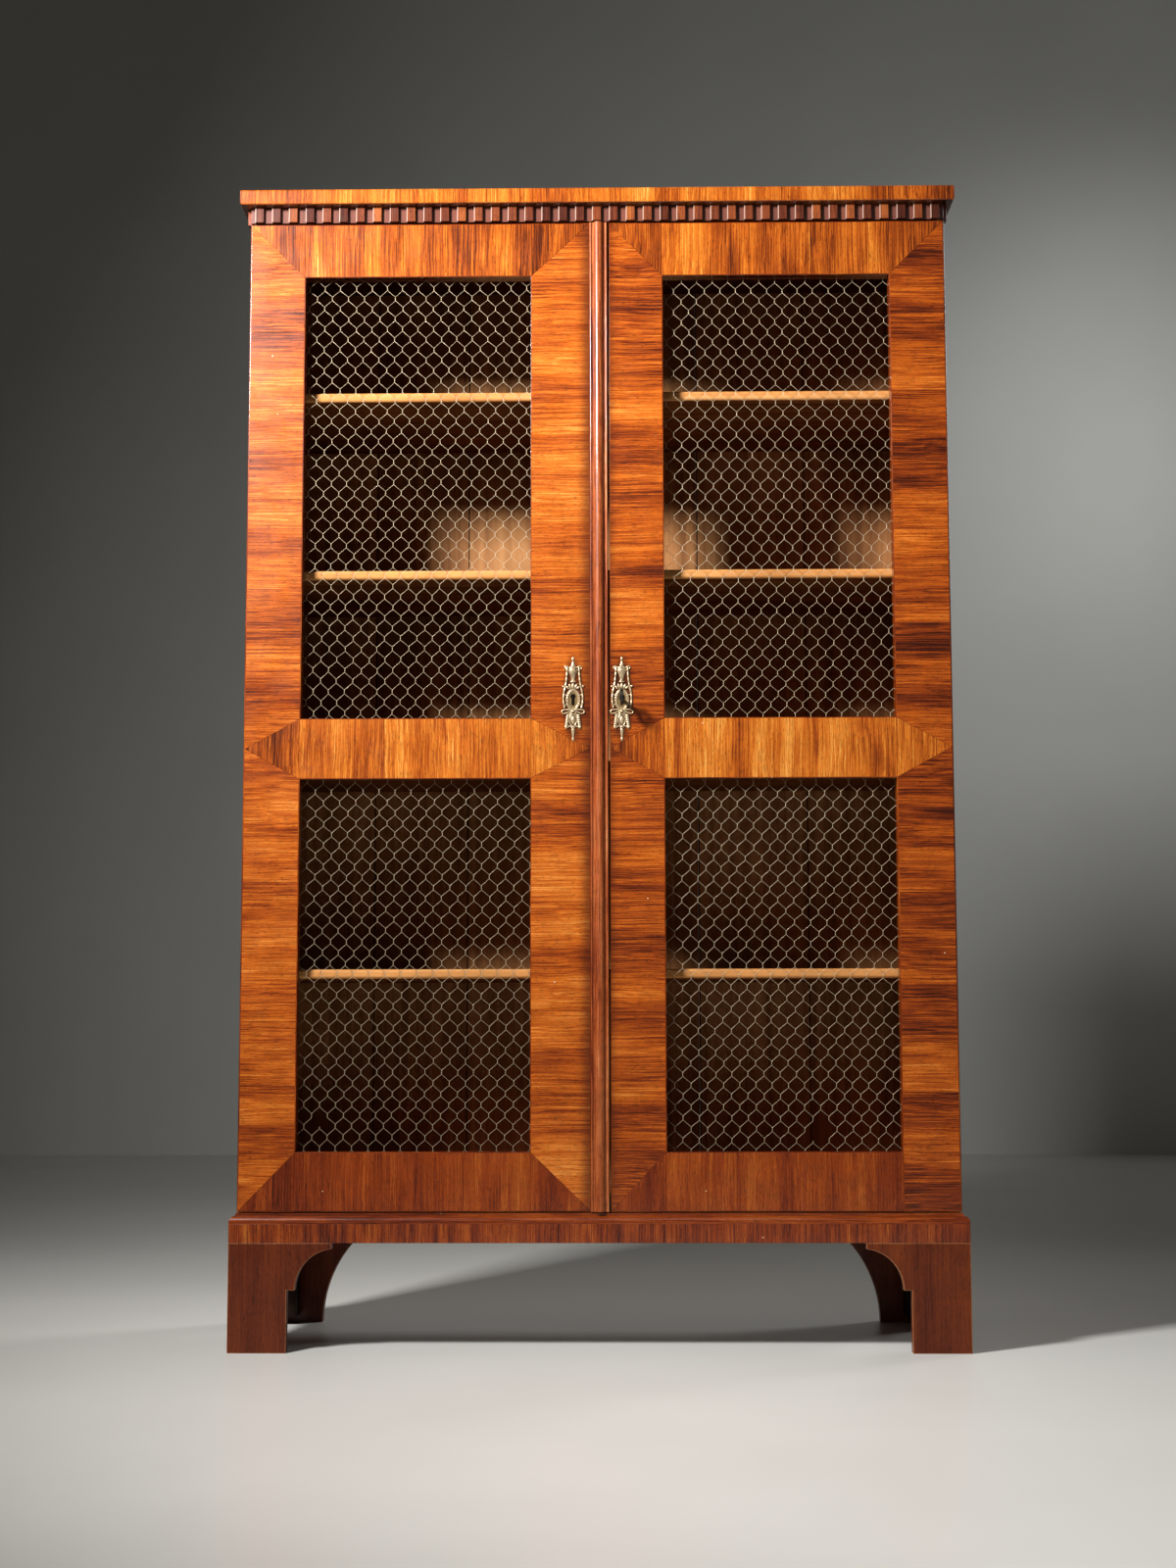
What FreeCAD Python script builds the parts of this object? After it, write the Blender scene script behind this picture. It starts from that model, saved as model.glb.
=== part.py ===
import FreeCAD, Part
import math
import os
import re
import Sketcher

# Two-door display cabinet on bracket feet, with wire net in the doors.
# Millimetres. The origin is on the floor under the middle, +X is the viewer's right,
# the doors face -Y and +Z is up.

# Driving dimensions, then the places worked out from them.
SIZES = [
    # whole cabinet
    ("overall_height", "1850"),
    ("case_width", "1125"),
    ("back_depth", "380"),
    ("key_reach", "52"),
    # plinth, feet and base moulding
    ("foot_height", "167"),
    ("fascia_height", "29"),
    ("fascia_thick", "24"),
    ("moulding_height", "16"),
    ("moulding_depth", "45"),
    ("moulding_fillet", "3"),
    ("ovolo_radius", "9"),
    ("plinth_out", "10.5"),
    ("bracket_thick", "20"),
    ("bracket_length", "160"),
    ("leg_width", "91"),
    ("leg_step", "12.5"),
    ("step_height", "95"),
    ("cove_radius", "63"),
    ("bracket_lip", "9.3"),
    ("back_leg_width", "79"),
    ("back_leg_top", "169"),
    ("back_cove_radius", "200"),
    ("block_side", "40"),
    ("block_lift", "14"),
    # cornice
    ("slab_thick", "25"),
    ("slab_front_out", "20"),
    ("slab_side_out", "15"),
    ("slab_round", "3"),
    ("frieze_height", "25"),
    ("dentil_pitch", "27.4"),
    ("dentil_width", "14.2"),
    ("dentil_out", "6"),
    ("dentil_ground", "1.5"),
    ("front_dentils", "41"),
    ("side_dentils", "14"),
    ("side_dentil_start", "8"),
    # case boards and shelves
    ("side_thick", "21"),
    ("bottom_thick", "18"),
    ("back_thick", "12"),
    ("back_rebate", "11"),
    ("back_joint", "0.5"),
    ("shelf_thick", "15"),
    ("shelf_setback", "6"),
    ("shelf_round", "5"),
    ("shelf_play", "1"),
    ("shelf_low", "590"),
    ("shelf_rail", "922"),
    ("shelf_high", "1232"),
    ("shelf_upper", "1526"),
    ("bearer_width", "12"),
    ("bearer_height", "18"),
    ("bearer_inset", "20"),
    # doors
    ("door_thick", "25"),
    ("door_gap", "2"),
    ("door_foot_gap", "2"),
    ("door_head_gap", "3"),
    ("stile_width", "90"),
    ("opening_width", "366"),
    ("left_meet", "17"),
    ("meet_gap", "3"),
    ("low_rail", "91.5"),
    ("low_opening", "584"),
    ("mid_rail", "97"),
    ("high_opening", "722"),
    ("door_round", "2"),
    ("rebate_width", "10"),
    ("rebate_depth", "7"),
    ("tenon_length", "30"),
    ("tenon_thick", "8"),
    ("tenon_front", "8"),
    ("tenon_shoulder", "14"),
    ("bead_joint", "0.3"),
    ("net_thick", "1"),
    ("net_lap", "9"),
    ("net_strand", "2"),
    ("net_columns", "5"),
    ("net_row_share", "0.71"),
    ("net_twist_share", "0.17"),
    # astragal
    ("astragal_base", "3"),
    ("astragal_bead", "3.6"),
    ("astragal_quirk", "2.5"),
    ("astragal_reed", "16.2"),
    ("astragal_reed_radius", "8.4"),
    ("astragal_bead_radius", "1.9"),
    # pivot hinges
    ("pivot_in", "5.5"),
    ("pivot_back", "10"),
    ("pin_radius", "3"),
    ("pin_play", "0.05"),
    ("pin_length", "9"),
    ("pin_room", "0.6"),
    ("pin_end_room", "1"),
    ("leaf_length", "44"),
    ("leaf_width", "16"),
    ("leaf_thick", "3"),
    ("leaf_margin", "1.8"),
    ("collar_radius", "5"),
    # lock, key and escutcheons
    ("lock_x", "38.7"),
    ("lock_z", "1015"),
    ("lock_width", "68"),
    ("lock_above", "46"),
    ("lock_below", "38"),
    ("lock_thick", "15"),
    ("lock_front_wall", "2"),
    ("lock_back_wall", "3"),
    ("chamber_radius", "13"),
    ("bolt_low", "9"),
    ("bolt_height", "18"),
    ("bolt_length", "46"),
    ("bolt_play", "0.3"),
    ("bolt_room", "13"),
    ("bolt_notch", "13"),
    ("bolt_notch_height", "4"),
    ("strike_thick", "2"),
    ("strike_margin", "9"),
    ("key_shank", "3"),
    ("key_hole", "4.5"),
    ("key_slot", "2"),
    ("key_bow", "12.5"),
    ("key_bow_wire", "5"),
    ("key_bow_half", "2.5"),
    ("key_collar", "5"),
    ("key_collar_length", "4"),
    ("key_collar_set", "5"),
    ("bit_height", "11.5"),
    ("bit_half", "1.5"),
    ("bit_play", "0.6"),
    ("field_thick", "1.2"),
    ("strap_thick", "2.2"),
    ("relief", "3.2"),
    # slide bolts of the left door
    ("slide_x", "-40"),
    ("slide_half", "5"),
    ("slide_deep", "3"),
    ("slide_play", "0.05"),
    ("slide_length", "146"),
    ("slide_travel", "15"),
    ("slide_off", "9"),
    ("slide_tip", "1"),
    ("slide_lift", "3"),
    ("guide_half", "13"),
    ("guide_length", "120"),
    ("guide_thick", "2"),
    ("lug_half", "9"),
    ("lug_length", "14"),
    ("lug_reach", "16"),
    ("guide_end", "20"),
    ("thumb_half", "3"),
    ("thumb_length", "18"),
    ("thumb_in", "36"),
    ("socket_room", "0.5"),
    # worked out places
    ("half", "=case_width / 2"),
    ("door_y", "=-(back_depth - key_reach) / 2"),
    ("door_back", "=door_y + door_thick"),
    ("case_y", "=door_back + door_gap"),
    ("back_y", "=door_y + back_depth"),
    ("lining_y", "=back_y - back_thick"),
    ("plinth_half", "=half + plinth_out"),
    ("plinth_y", "=door_y - plinth_out"),
    ("moulding_y", "=plinth_y + moulding_depth"),
    ("plinth_top", "=foot_height + fascia_height"),
    ("floor_z", "=plinth_top + moulding_height"),
    ("slab_z", "=overall_height - slab_thick"),
    ("frieze_z", "=slab_z - frieze_height"),
    ("inner_half", "=half - side_thick"),
    ("back_half", "=inner_half + back_rebate"),
    ("door_low", "=floor_z + door_foot_gap"),
    ("door_high", "=frieze_z - door_head_gap"),
    ("low_sill", "=door_low + low_rail"),
    ("low_head", "=low_sill + low_opening"),
    ("high_sill", "=low_head + mid_rail"),
    ("high_head", "=high_sill + high_opening"),
    ("opening_out", "=half - stile_width"),
    ("opening_in", "=opening_out - opening_width"),
    ("right_meet", "=left_meet + meet_gap"),
    ("rebate_y", "=door_back - rebate_depth"),
    ("tenon_y", "=door_y + tenon_front"),
    ("pivot_x", "=half - pivot_in"),
    ("pivot_y", "=door_back - pivot_back"),
    ("leaf_out", "=half - leaf_margin"),
    ("leaf_y", "=pivot_y - leaf_width / 2"),
    ("lock_y", "=door_back - lock_thick"),
    ("chamber_y", "=lock_y + lock_front_wall"),
    ("chamber_back", "=door_back - lock_back_wall"),
    ("slide_y", "=door_back + slide_off"),
    ("cove_x", "=leg_width + leg_step"),
]

# Widths of the back boards from the left, as sawn.
BACK_BOARD_WIDTHS = (159.5, 162, 212, 190, 189, 190.5)

# Drawing of an escutcheon, from its own keyhole. A corner is x and z, and an arc that ends
# there adds its radius and -1 for a swelling or 1 for a hollow. Halves run from top to bottom.
URN_HALF = (
    (0, 68.7),
    (2.3, 66.3),
    (1.2, 62.4),
    (4.8, 53),
    (7.4, 52.2),
    (6.6, 50),
    (7, 46.4),
    (5.2, 40.5),
    (2.7, 32),
    (4.8, 28.6),
    (4.8, 27.5),
)
LEAF_HALF = ((3.2, 28), (7.2, 22.8), (11.2, 21.2), (10.4, 18), (5.5, 14.6))
STRAP = (
    (8.6, 49.6),
    (9.4, 53.2),
    (12.8, 53.4),
    (13.6, 50.4),
    (11.2, 48.6),
    (12.4, 25),
    (16.6, 2, 62, -1),
    (14.6, -14.2, 40, -1),
    (11.2, -13.6),
    (12.5, 2, 32, 1),
    (10, 23, 60, 1),
)
BOW_HALF = (
    (0, -15.8),
    (14, -13.2),
    (17.4, -15.4),
    (18.4, -18.6),
    (17, -21.8),
    (14, -23.2),
    (8.2, -21.2),
    (0, -23),
)
BOW_LOOP = ((10.6, -18), (13.6, -16.2), (16.2, -18.6), (13.4, -20.8))
SPRIG = (
    (6.2, -21.8),
    (10.2, -23.6),
    (12.2, -28.4),
    (11.2, -29.4),
    (13, -35),
    (12, -36),
    (14.6, -43.2),
    (13.6, -45.6),
    (9.4, -44.6),
    (8.2, -38),
    (5.6, -31),
)
DROP_HALF = (
    (0, -41),
    (3.6, -42.2),
    (3.9, -44.6),
    (2.2, -46.8),
    (2.9, -49.5),
    (1.3, -60.5),
    (2.1, -63),
    (0, -66.2),
)

# Ovals of an escutcheon: half width, half height, radius of the ends and height of the middle.
RIM_OVAL = (10.6, 16.7, 7.5, 0)
FIELD_OVAL = (8, 14.1, 5.6, 0)
BOSS_OVAL = (6.2, 10, 4.4, -32.5)

doc = FreeCAD.newDocument("display_cabinet")
sheet = doc.addObject("Spreadsheet::Sheet", "sizes")
for row, (name, amount) in enumerate(SIZES, start=1):
    sheet.set(f"A{row}", name)
    sheet.set(f"B{row}", amount)
    sheet.setAlias(f"B{row}", name)
doc.recompute()

ALIASES = {name for name, _ in SIZES}
# How near an edge's middle lies to the place it is looked for, and when two points are one.
NEAR = 0.1
SAME = 1e-6
ORIGIN = -1
VERTICAL_AXIS = -2
HORIZONTAL_AXIS = -1
pieces = []


def bound(text):
    """The expression with every alias spelled as a cell of the sheet."""
    return re.sub(r"[a-z_]+", lambda word: f"sizes.{word[0]}" if word[0] in ALIASES else word[0], text)


def bind(target, **expressions):
    """Tie properties to the sheet; two underscores stand for a dot."""
    for prop, text in expressions.items():
        target.setExpression(prop.replace("__", "."), bound(text))


def place(target, x, y, z):
    """Tie the place of a feature or body to the sheet."""
    bind(target, Placement__Base__x=x, Placement__Base__y=y, Placement__Base__z=z)


def amount_of(text):
    """The number that a sum of aliases and plain numbers comes to."""
    total = 0.0
    for sign, word in re.findall(r"([+-]?)\s*([a-z_]+|[0-9.]+)", text):
        number = float(sheet.get(word)) if word in ALIASES else float(word)
        total += -number if sign == "-" else number
    return total


def opposite(text):
    """The same sum with every sign turned."""
    terms = re.findall(r"([+-]?)\s*([a-z_]+|[0-9.]+)", text)
    turned = [("" if sign == "-" else "-") + word for sign, word in terms]
    return " + ".join(turned).replace("+ -", "- ")


def across(side, low, high):
    """A span of X given for the right side, turned over for the left side (-1)."""
    return (low, high) if side > 0 else (opposite(high), opposite(low))


def signed(side, text):
    """A place on X given for the right side, turned over for the left side (-1)."""
    return text if side > 0 else opposite(text)


def piece(label):
    """A new body that becomes a file of its own."""
    body = doc.addObject("PartDesign::Body", label)
    body.Label = label
    body.AllowCompound = True
    pieces.append(body)
    return body


def block(body, x, y, z, kind="Additive"):
    """Add or take away a box between pairs of places."""
    box = body.newObject(f"PartDesign::{kind}Box", "Block")
    bind(box, Length=f"({x[1]}) - ({x[0]})", Width=f"({y[1]}) - ({y[0]})", Height=f"({z[1]}) - ({z[0]})")
    place(box, x[0], y[0], z[0])
    return box


def sink(body, x, y, z):
    """Take away a box between pairs of places."""
    return block(body, x, y, z, "Subtractive")


def rod(body, centre, along, span, radius, kind="Additive"):
    """Add or take away a cylinder along X, Y or Z; centre gives the two other places."""
    cylinder = body.newObject(f"PartDesign::{kind}Cylinder", "Rod")
    bind(cylinder, Radius=radius, Height=f"({span[1]}) - ({span[0]})")
    if along == "X":
        cylinder.Placement.Rotation = FreeCAD.Rotation(FreeCAD.Vector(0, 1, 0), 90)
        place(cylinder, span[0], centre[0], centre[1])
    elif along == "Y":
        cylinder.Placement.Rotation = FreeCAD.Rotation(FreeCAD.Vector(1, 0, 0), -90)
        place(cylinder, centre[0], span[0], centre[1])
    else:
        place(cylinder, centre[0], centre[1], span[0])
    return cylinder


def bore(body, centre, along, span, radius):
    """Take away a cylinder along X, Y or Z."""
    return rod(body, centre, along, span, radius, "Subtractive")


def bulge(start, end, radius, turn):
    """The middle of the short arc between two points; turn 1 has its centre on the left."""
    chord = end - start
    drop = radius - math.sqrt(radius**2 - (chord.Length / 2) ** 2)
    left = FreeCAD.Vector(-chord.y, chord.x, 0).normalize()
    return (start + end) / 2 - left * turn * drop


def hold(sketch, along, geometry, end, text):
    """Fix one coordinate of a point in a sketch to the sheet."""
    value = amount_of(text)
    if abs(value) < SAME:
        axis = VERTICAL_AXIS if along == "DistanceX" else HORIZONTAL_AXIS
        sketch.addConstraint(Sketcher.Constraint("PointOnObject", geometry, end, axis))
        return
    ends = (ORIGIN, 1, geometry, end) if value > 0 else (geometry, end, ORIGIN, 1)
    index = sketch.addConstraint(Sketcher.Constraint(along, *ends, abs(value)))
    sketch.setExpression(f"Constraints[{index}]", bound(text if value > 0 else opposite(text)))


def outline(sketch, corners):
    """Draw a closed outline. A corner is (x, y), or (x, y, radius, turn) for an arc that ends there."""
    points = [FreeCAD.Vector(amount_of(c[0]), amount_of(c[1]), 0) for c in corners]
    ends = []
    for index, corner in enumerate(corners):
        start, end = points[index - 1], points[index]
        if len(corner) == 2:
            geometry = sketch.addGeometry(Part.LineSegment(start, end), False)
            ends.append((geometry, 1, 2))
            continue
        arc = Part.Arc(start, bulge(start, end, amount_of(corner[2]), corner[3]), end)
        geometry = sketch.addGeometry(arc, False)
        forward = sketch.getPoint(geometry, 1).distanceToPoint(start) < SAME
        ends.append((geometry, 1, 2) if forward else (geometry, 2, 1))
    for index, corner in enumerate(corners):
        geometry, _, end = ends[index]
        following, start, _ = ends[(index + 1) % len(ends)]
        sketch.addConstraint(Sketcher.Constraint("Coincident", geometry, end, following, start))
        hold(sketch, "DistanceX", geometry, end, corner[0])
        hold(sketch, "DistanceY", geometry, end, corner[1])
        if len(corner) > 2:
            radius = sketch.addConstraint(Sketcher.Constraint("Radius", geometry, amount_of(corner[2])))
            sketch.setExpression(f"Constraints[{radius}]", bound(corner[2]))


def drawn(body, plane, offset, *outlines):
    """A sketch with closed outlines on one of the body's own planes, moved along its normal."""
    sketch = body.newObject("Sketcher::SketchObject", "Sketch")
    support = [feature for feature in body.Origin.OriginFeatures if feature.Role == plane]
    sketch.AttachmentSupport = [(support[0], "")]
    sketch.MapMode = "FlatFace"
    bind(sketch, AttachmentOffset__Base__z=offset)
    for corners in outlines:
        outline(sketch, corners)
    return sketch


def prism(body, plane, span, *outlines):
    """Pad an outline, less any inside it, between two places on the axis that the plane faces."""
    # The normal of the XZ plane points to -Y, so there the pad starts at the far place.
    offset = opposite(span[1]) if plane == "XZ_Plane" else span[0]
    sketch = drawn(body, plane, offset, *outlines)
    pad = body.newObject("PartDesign::Pad", "Pad")
    pad.Profile = sketch
    bind(pad, Length=f"({span[1]}) - ({span[0]})")
    return pad


def through(body, plane, *outlines):
    """Pocket outlines right through, to both sides of the plane."""
    pocket = body.newObject("PartDesign::Pocket", "Pocket")
    pocket.Profile = drawn(body, plane, "0", *outlines)
    pocket.Type = "ThroughAll"
    pocket.Midplane = True
    return pocket


def rounded(body, feature, radius, chosen):
    """Fillet the edges of a feature whose middle passes the test."""
    doc.recompute()
    names = []
    for number, edge in enumerate(feature.Shape.Edges, start=1):
        if chosen(edge.CenterOfMass):
            names.append(f"Edge{number}")
    fillet = body.newObject("PartDesign::Fillet", "Fillet")
    fillet.Base = (feature, names)
    bind(fillet, Radius=radius)


# Bracket feet

def bracket_outline(hand):
    """Stepped leg with a cove up to a short lip under the plinth."""
    reach = "bracket_length"
    lip = "foot_height - bracket_lip"
    return [
        ("0", "0"),
        (signed(hand, "leg_width"), "0"),
        (signed(hand, "leg_width"), "step_height"),
        (signed(hand, "cove_x"), "step_height"),
        (signed(hand, reach), lip, "cove_radius", -hand),
        (signed(hand, reach), "foot_height"),
        ("0", "foot_height"),
    ]


def back_bracket_outline(hand):
    """Plain leg that sweeps up in one long curve."""
    return [
        ("0", "0"),
        (signed(hand, "back_leg_width"), "0"),
        (signed(hand, "back_leg_top"), "foot_height", "back_cove_radius", -hand),
        ("0", "foot_height"),
    ]


def bracket(label, corners, hand, spot, turn, mitred):
    """A sawn bracket, its outer face on local -Y, turned into place about its outer corner."""
    body = piece(label)
    prism(body, "XZ_Plane", ("0", "bracket_thick"), corners)
    if mitred:
        edge = signed(hand, "bracket_thick")
        through(body, "XY_Plane", [("0", "0"), (edge, "bracket_thick"), ("0", "bracket_thick")])
    body.Placement.Rotation = FreeCAD.Rotation(FreeCAD.Vector(0, 0, 1), turn)
    place(body, spot[0], spot[1], "0")


for side, name in ((-1, "left"), (1, "right")):
    corner_x = signed(side, "plinth_half")
    front, rear = (corner_x, "plinth_y"), (corner_x, "back_y")
    inner_rear = (signed(side, "plinth_half - bracket_thick"), "back_y")
    bracket(f"foot_front_{name}", bracket_outline(-side), -side, front, 0, True)
    bracket(f"foot_front_{name}_side", bracket_outline(side), side, front, 90 * side, True)
    bracket(f"foot_rear_{name}_side", bracket_outline(-side), -side, rear, 90 * side, False)
    bracket(f"foot_rear_{name}", back_bracket_outline(side), side, inner_rear, 180, False)

foot_blocks = piece("foot_glue_blocks")
for side in (-1, 1):
    block_x = across(side, "plinth_half - bracket_thick - block_side", "plinth_half - bracket_thick")
    front_y = ("plinth_y + bracket_thick", "plinth_y + bracket_thick + block_side")
    rear_y = ("back_y - bracket_thick - block_side", "back_y - bracket_thick")
    for block_y in (front_y, rear_y):
        block(foot_blocks, block_x, block_y, ("block_lift", "foot_height"))


# Plinth rails and base moulding

fascia = ("foot_height", "plinth_top")
plinth_inner = "plinth_half - fascia_thick"
front_rail_back = "plinth_y + fascia_thick"
block(piece("plinth_front"), ("-plinth_half", "plinth_half"), ("plinth_y", front_rail_back), fascia)
for side, name in ((-1, "left"), (1, "right")):
    plinth_x = across(side, plinth_inner, "plinth_half")
    block(piece(f"plinth_{name}"), plinth_x, (front_rail_back, "back_y"), fascia)
back_rail_y = ("back_y - fascia_thick", "back_y")
block(piece("plinth_back"), (opposite(plinth_inner), plinth_inner), back_rail_y, fascia)

ovolo_foot = "plinth_top + moulding_fillet"
ovolo_top = "plinth_top + moulding_fillet + ovolo_radius"
ovolo_in = "plinth_half - ovolo_radius"


def moulding_waste(side):
    """What the profile takes off an end of the front moulding."""
    return [
        (signed(side, ovolo_in), "floor_z"),
        (signed(side, ovolo_in), ovolo_top),
        (signed(side, "plinth_half"), ovolo_foot, "ovolo_radius", -side),
        (signed(side, "plinth_half + moulding_fillet"), ovolo_foot),
        (signed(side, "plinth_half + moulding_fillet"), "floor_z"),
    ]


leaf_y_span = ("leaf_y", "leaf_y + leaf_width")


def leaf_x_span(side):
    """The length of a hinge leaf, let in from the outer edge."""
    return across(side, "leaf_out - leaf_length", "leaf_out")


def pivot_recess(body, side, plate_z, pin_z):
    """Seat a hinge plate and chop room past it for the pin."""
    sink(body, leaf_x_span(side), leaf_y_span, plate_z)
    room_x = across(side, "pivot_x - pin_radius - pin_room", "pivot_x + pin_radius + pin_room")
    room_y = ("pivot_y - pin_radius - pin_room", "pivot_y + pin_radius + pin_room")
    sink(body, room_x, room_y, pin_z)


front_moulding = piece("base_moulding_front")
prism(front_moulding, "YZ_Plane", ("-plinth_half", "plinth_half"), [
    ("plinth_y", "plinth_top"),
    ("plinth_y", ovolo_foot),
    ("plinth_y + ovolo_radius", ovolo_top, "ovolo_radius", -1),
    ("plinth_y + ovolo_radius", "floor_z"),
    ("moulding_y", "floor_z"),
    ("moulding_y", "plinth_top"),
])
through(front_moulding, "XZ_Plane", moulding_waste(-1), moulding_waste(1))
low_plate = ("floor_z - leaf_thick", "floor_z")
low_pin_room = ("floor_z - pin_length - pin_end_room", "floor_z")
for side, name in ((-1, "left"), (1, "right")):
    pivot_recess(front_moulding, side, low_plate, low_pin_room)
    prism(piece(f"base_moulding_{name}"), "XZ_Plane", ("moulding_y", "back_y"), [
        (signed(side, "plinth_half"), "plinth_top"),
        (signed(side, "plinth_half"), ovolo_foot),
        (signed(side, ovolo_in), ovolo_top, "ovolo_radius", side),
        (signed(side, ovolo_in), "floor_z"),
        (signed(side, "plinth_half - moulding_depth"), "floor_z"),
        (signed(side, "plinth_half - moulding_depth"), "plinth_top"),
    ])


# Case boards

case_z = ("floor_z", "slab_z")
for side, name in ((-1, "left"), (1, "right")):
    case_side = piece(f"side_{name}")
    block(case_side, across(side, "inner_half", "half"), ("case_y", "back_y"), case_z)
    sink(case_side, across(side, "inner_half", "back_half"), ("lining_y", "back_y"), case_z)
    ground_seat = across(side, "half - dentil_ground", "half")
    sink(case_side, ground_seat, ("case_y", "back_y"), ("frieze_z", "slab_z"))

inside_x = ("-inner_half", "inner_half")


def slide_way(body, span, room):
    """Take away the way of a slide bolt, wider than the bolt by the room all round."""
    way_x = (f"slide_x - slide_half - {room}", f"slide_x + slide_half + {room}")
    way_y = (f"slide_y - slide_deep - {room}", f"slide_y + slide_deep + {room}")
    sink(body, way_x, way_y, span)


case_bottom = piece("case_bottom")
block(case_bottom, inside_x, ("case_y", "lining_y"), ("floor_z", "floor_z + bottom_thick"))
low_socket = ("floor_z + slide_lift", "floor_z + bottom_thick")
slide_way(case_bottom, low_socket, "socket_room")
case_top = piece("case_top")
block(case_top, inside_x, ("case_y", "lining_y"), ("frieze_z", "slab_z"))
slide_way(case_top, ("frieze_z", "frieze_z + slide_travel"), "socket_room")

back_boards = piece("back_boards")
passed = 0
for width in BACK_BOARD_WIDTHS:
    board_x = (f"{passed} - back_half", f"{passed + width} - back_half - back_joint")
    block(back_boards, board_x, ("lining_y", "back_y"), case_z)
    passed += width

bearers = piece("shelf_bearers")
for level in ("low", "rail", "high", "upper"):
    top = f"shelf_{level}"
    under = f"{top} - shelf_thick"
    shelf = piece(f"{top}")
    shelf_x = ("shelf_play - inner_half", "inner_half - shelf_play")
    shelf_front = "case_y + shelf_setback"
    board = block(shelf, shelf_x, (shelf_front, "lining_y - shelf_play"), (under, top))
    nosing = amount_of(shelf_front)
    rounded(shelf, board, "shelf_round", lambda middle: math.hypot(middle.x, middle.y - nosing) < NEAR)
    bearer_y = ("case_y + bearer_inset", "lining_y - shelf_play")
    for side in (-1, 1):
        bearer_x = across(side, "inner_half - bearer_width", "inner_half")
        block(bearers, bearer_x, bearer_y, (f"{under} - bearer_height", under))


# Frieze with its dentils, and the slab

frieze = piece("frieze_rail")
frieze_half = "half - dentil_ground"
frieze_y = ("door_y + dentil_ground", "case_y")
block(frieze, (opposite(frieze_half), frieze_half), frieze_y, ("frieze_z", "slab_z"))
high_plate = ("frieze_z", "frieze_z + leaf_thick")
high_pin_room = ("frieze_z", "frieze_z + pin_length + pin_end_room")
for side in (-1, 1):
    pivot_recess(frieze, side, high_plate, high_pin_room)


def toothed(label, ground, first, direction, count):
    """A strip with a row of dentils planted along it."""
    body = piece(label)
    block(body, *ground)
    tooth = block(body, *first)
    doc.recompute()
    row_of_teeth = body.newObject("PartDesign::LinearPattern", "Dentils")
    row_of_teeth.Originals = [tooth]
    axis = [feature for feature in body.Origin.OriginFeatures if feature.Role == direction]
    row_of_teeth.Direction = (axis[0], [""])
    row_of_teeth.Mode = "Spacing"
    bind(row_of_teeth, Offset="dentil_pitch", Occurrences=count)
    body.Tip = row_of_teeth


frieze_span = ("frieze_z", "slab_z")
front_left = "-(front_dentils - 1) * dentil_pitch / 2 - dentil_width / 2"
front_ground = (("-half", "half"), ("door_y", "door_y + dentil_ground"), frieze_span)
front_tooth_x = (front_left, f"{front_left} + dentil_width")
front_first = (front_tooth_x, ("door_y - dentil_out", "door_y"), frieze_span)
toothed("dentils_front", front_ground, front_first, "X_Axis", "front_dentils")
side_first_y = ("door_y + side_dentil_start", "door_y + side_dentil_start + dentil_width")
for side, name in ((-1, "left"), (1, "right")):
    ground_x = across(side, "half - dentil_ground", "half")
    tooth_x = across(side, "half", "half + dentil_out")
    side_ground = (ground_x, ("door_y + dentil_ground", "back_y"), frieze_span)
    toothed(f"dentils_{name}", side_ground, (tooth_x, side_first_y, frieze_span), "Y_Axis", "side_dentils")

slab = piece("cornice_slab")
slab_half = "half + slab_side_out"
slab_front = "door_y - slab_front_out"
slab_x = (opposite(slab_half), slab_half)
slab_board = block(slab, slab_x, (slab_front, "back_y"), ("slab_z", "overall_height"))
slab_edges = (amount_of(slab_half), amount_of(slab_front), amount_of("slab_z"), amount_of("overall_height"))


def on_slab_rim(middle):
    """The long arrises at the front and the sides."""
    level = min(abs(middle.z - slab_edges[2]), abs(middle.z - slab_edges[3])) < NEAR
    return level and (abs(middle.y - slab_edges[1]) < NEAR or abs(abs(middle.x) - slab_edges[0]) < NEAR)


rounded(slab, slab_board, "slab_round", on_slab_rim)


# Doors

door_y_span = ("door_y", "door_back")
rails = {
    "bottom": ("door_low", "low_sill"),
    "middle": ("low_head", "high_sill"),
    "top": ("high_head", "door_high"),
}
openings = {"lower": ("low_sill", "low_head"), "upper": ("high_sill", "high_head")}
tenon_y_span = ("tenon_y", "tenon_y + tenon_thick")
rebate_y_span = ("rebate_y", "door_back")


def tenon_span(rail):
    """The height of a rail's tenon, in from both of its edges."""
    low, high = rails[rail]
    return (f"{low} + tenon_shoulder", f"{high} - tenon_shoulder")


def cut_for_rails(stile, mortise_x, rebate_x):
    """Mortises for the three tenons, and rebates behind both openings."""
    for rail in rails:
        sink(stile, mortise_x, tenon_y_span, tenon_span(rail))
    for low, high in openings.values():
        sink(stile, rebate_x, rebate_y_span, (f"{low} - rebate_width", f"{high} + rebate_width"))


def outer_stile(name, side):
    """The stile at the hinges, with the two hinge leaves let into its ends."""
    stile = piece(f"{name}_outer_stile")
    board = block(stile, across(side, "opening_out", "half"), door_y_span, ("door_low", "door_high"))
    arris = (side * amount_of("half"), amount_of("door_y"))
    rounded(stile, board, "door_round", lambda middle: math.dist((middle.x, middle.y), arris) < NEAR)
    mortise_x = across(side, "opening_out", "opening_out + tenon_length")
    cut_for_rails(stile, mortise_x, across(side, "opening_out", "opening_out + rebate_width"))
    sink(stile, leaf_x_span(side), leaf_y_span, ("door_low", "door_low + leaf_thick"))
    sink(stile, leaf_x_span(side), leaf_y_span, ("door_high - leaf_thick", "door_high"))


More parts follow.
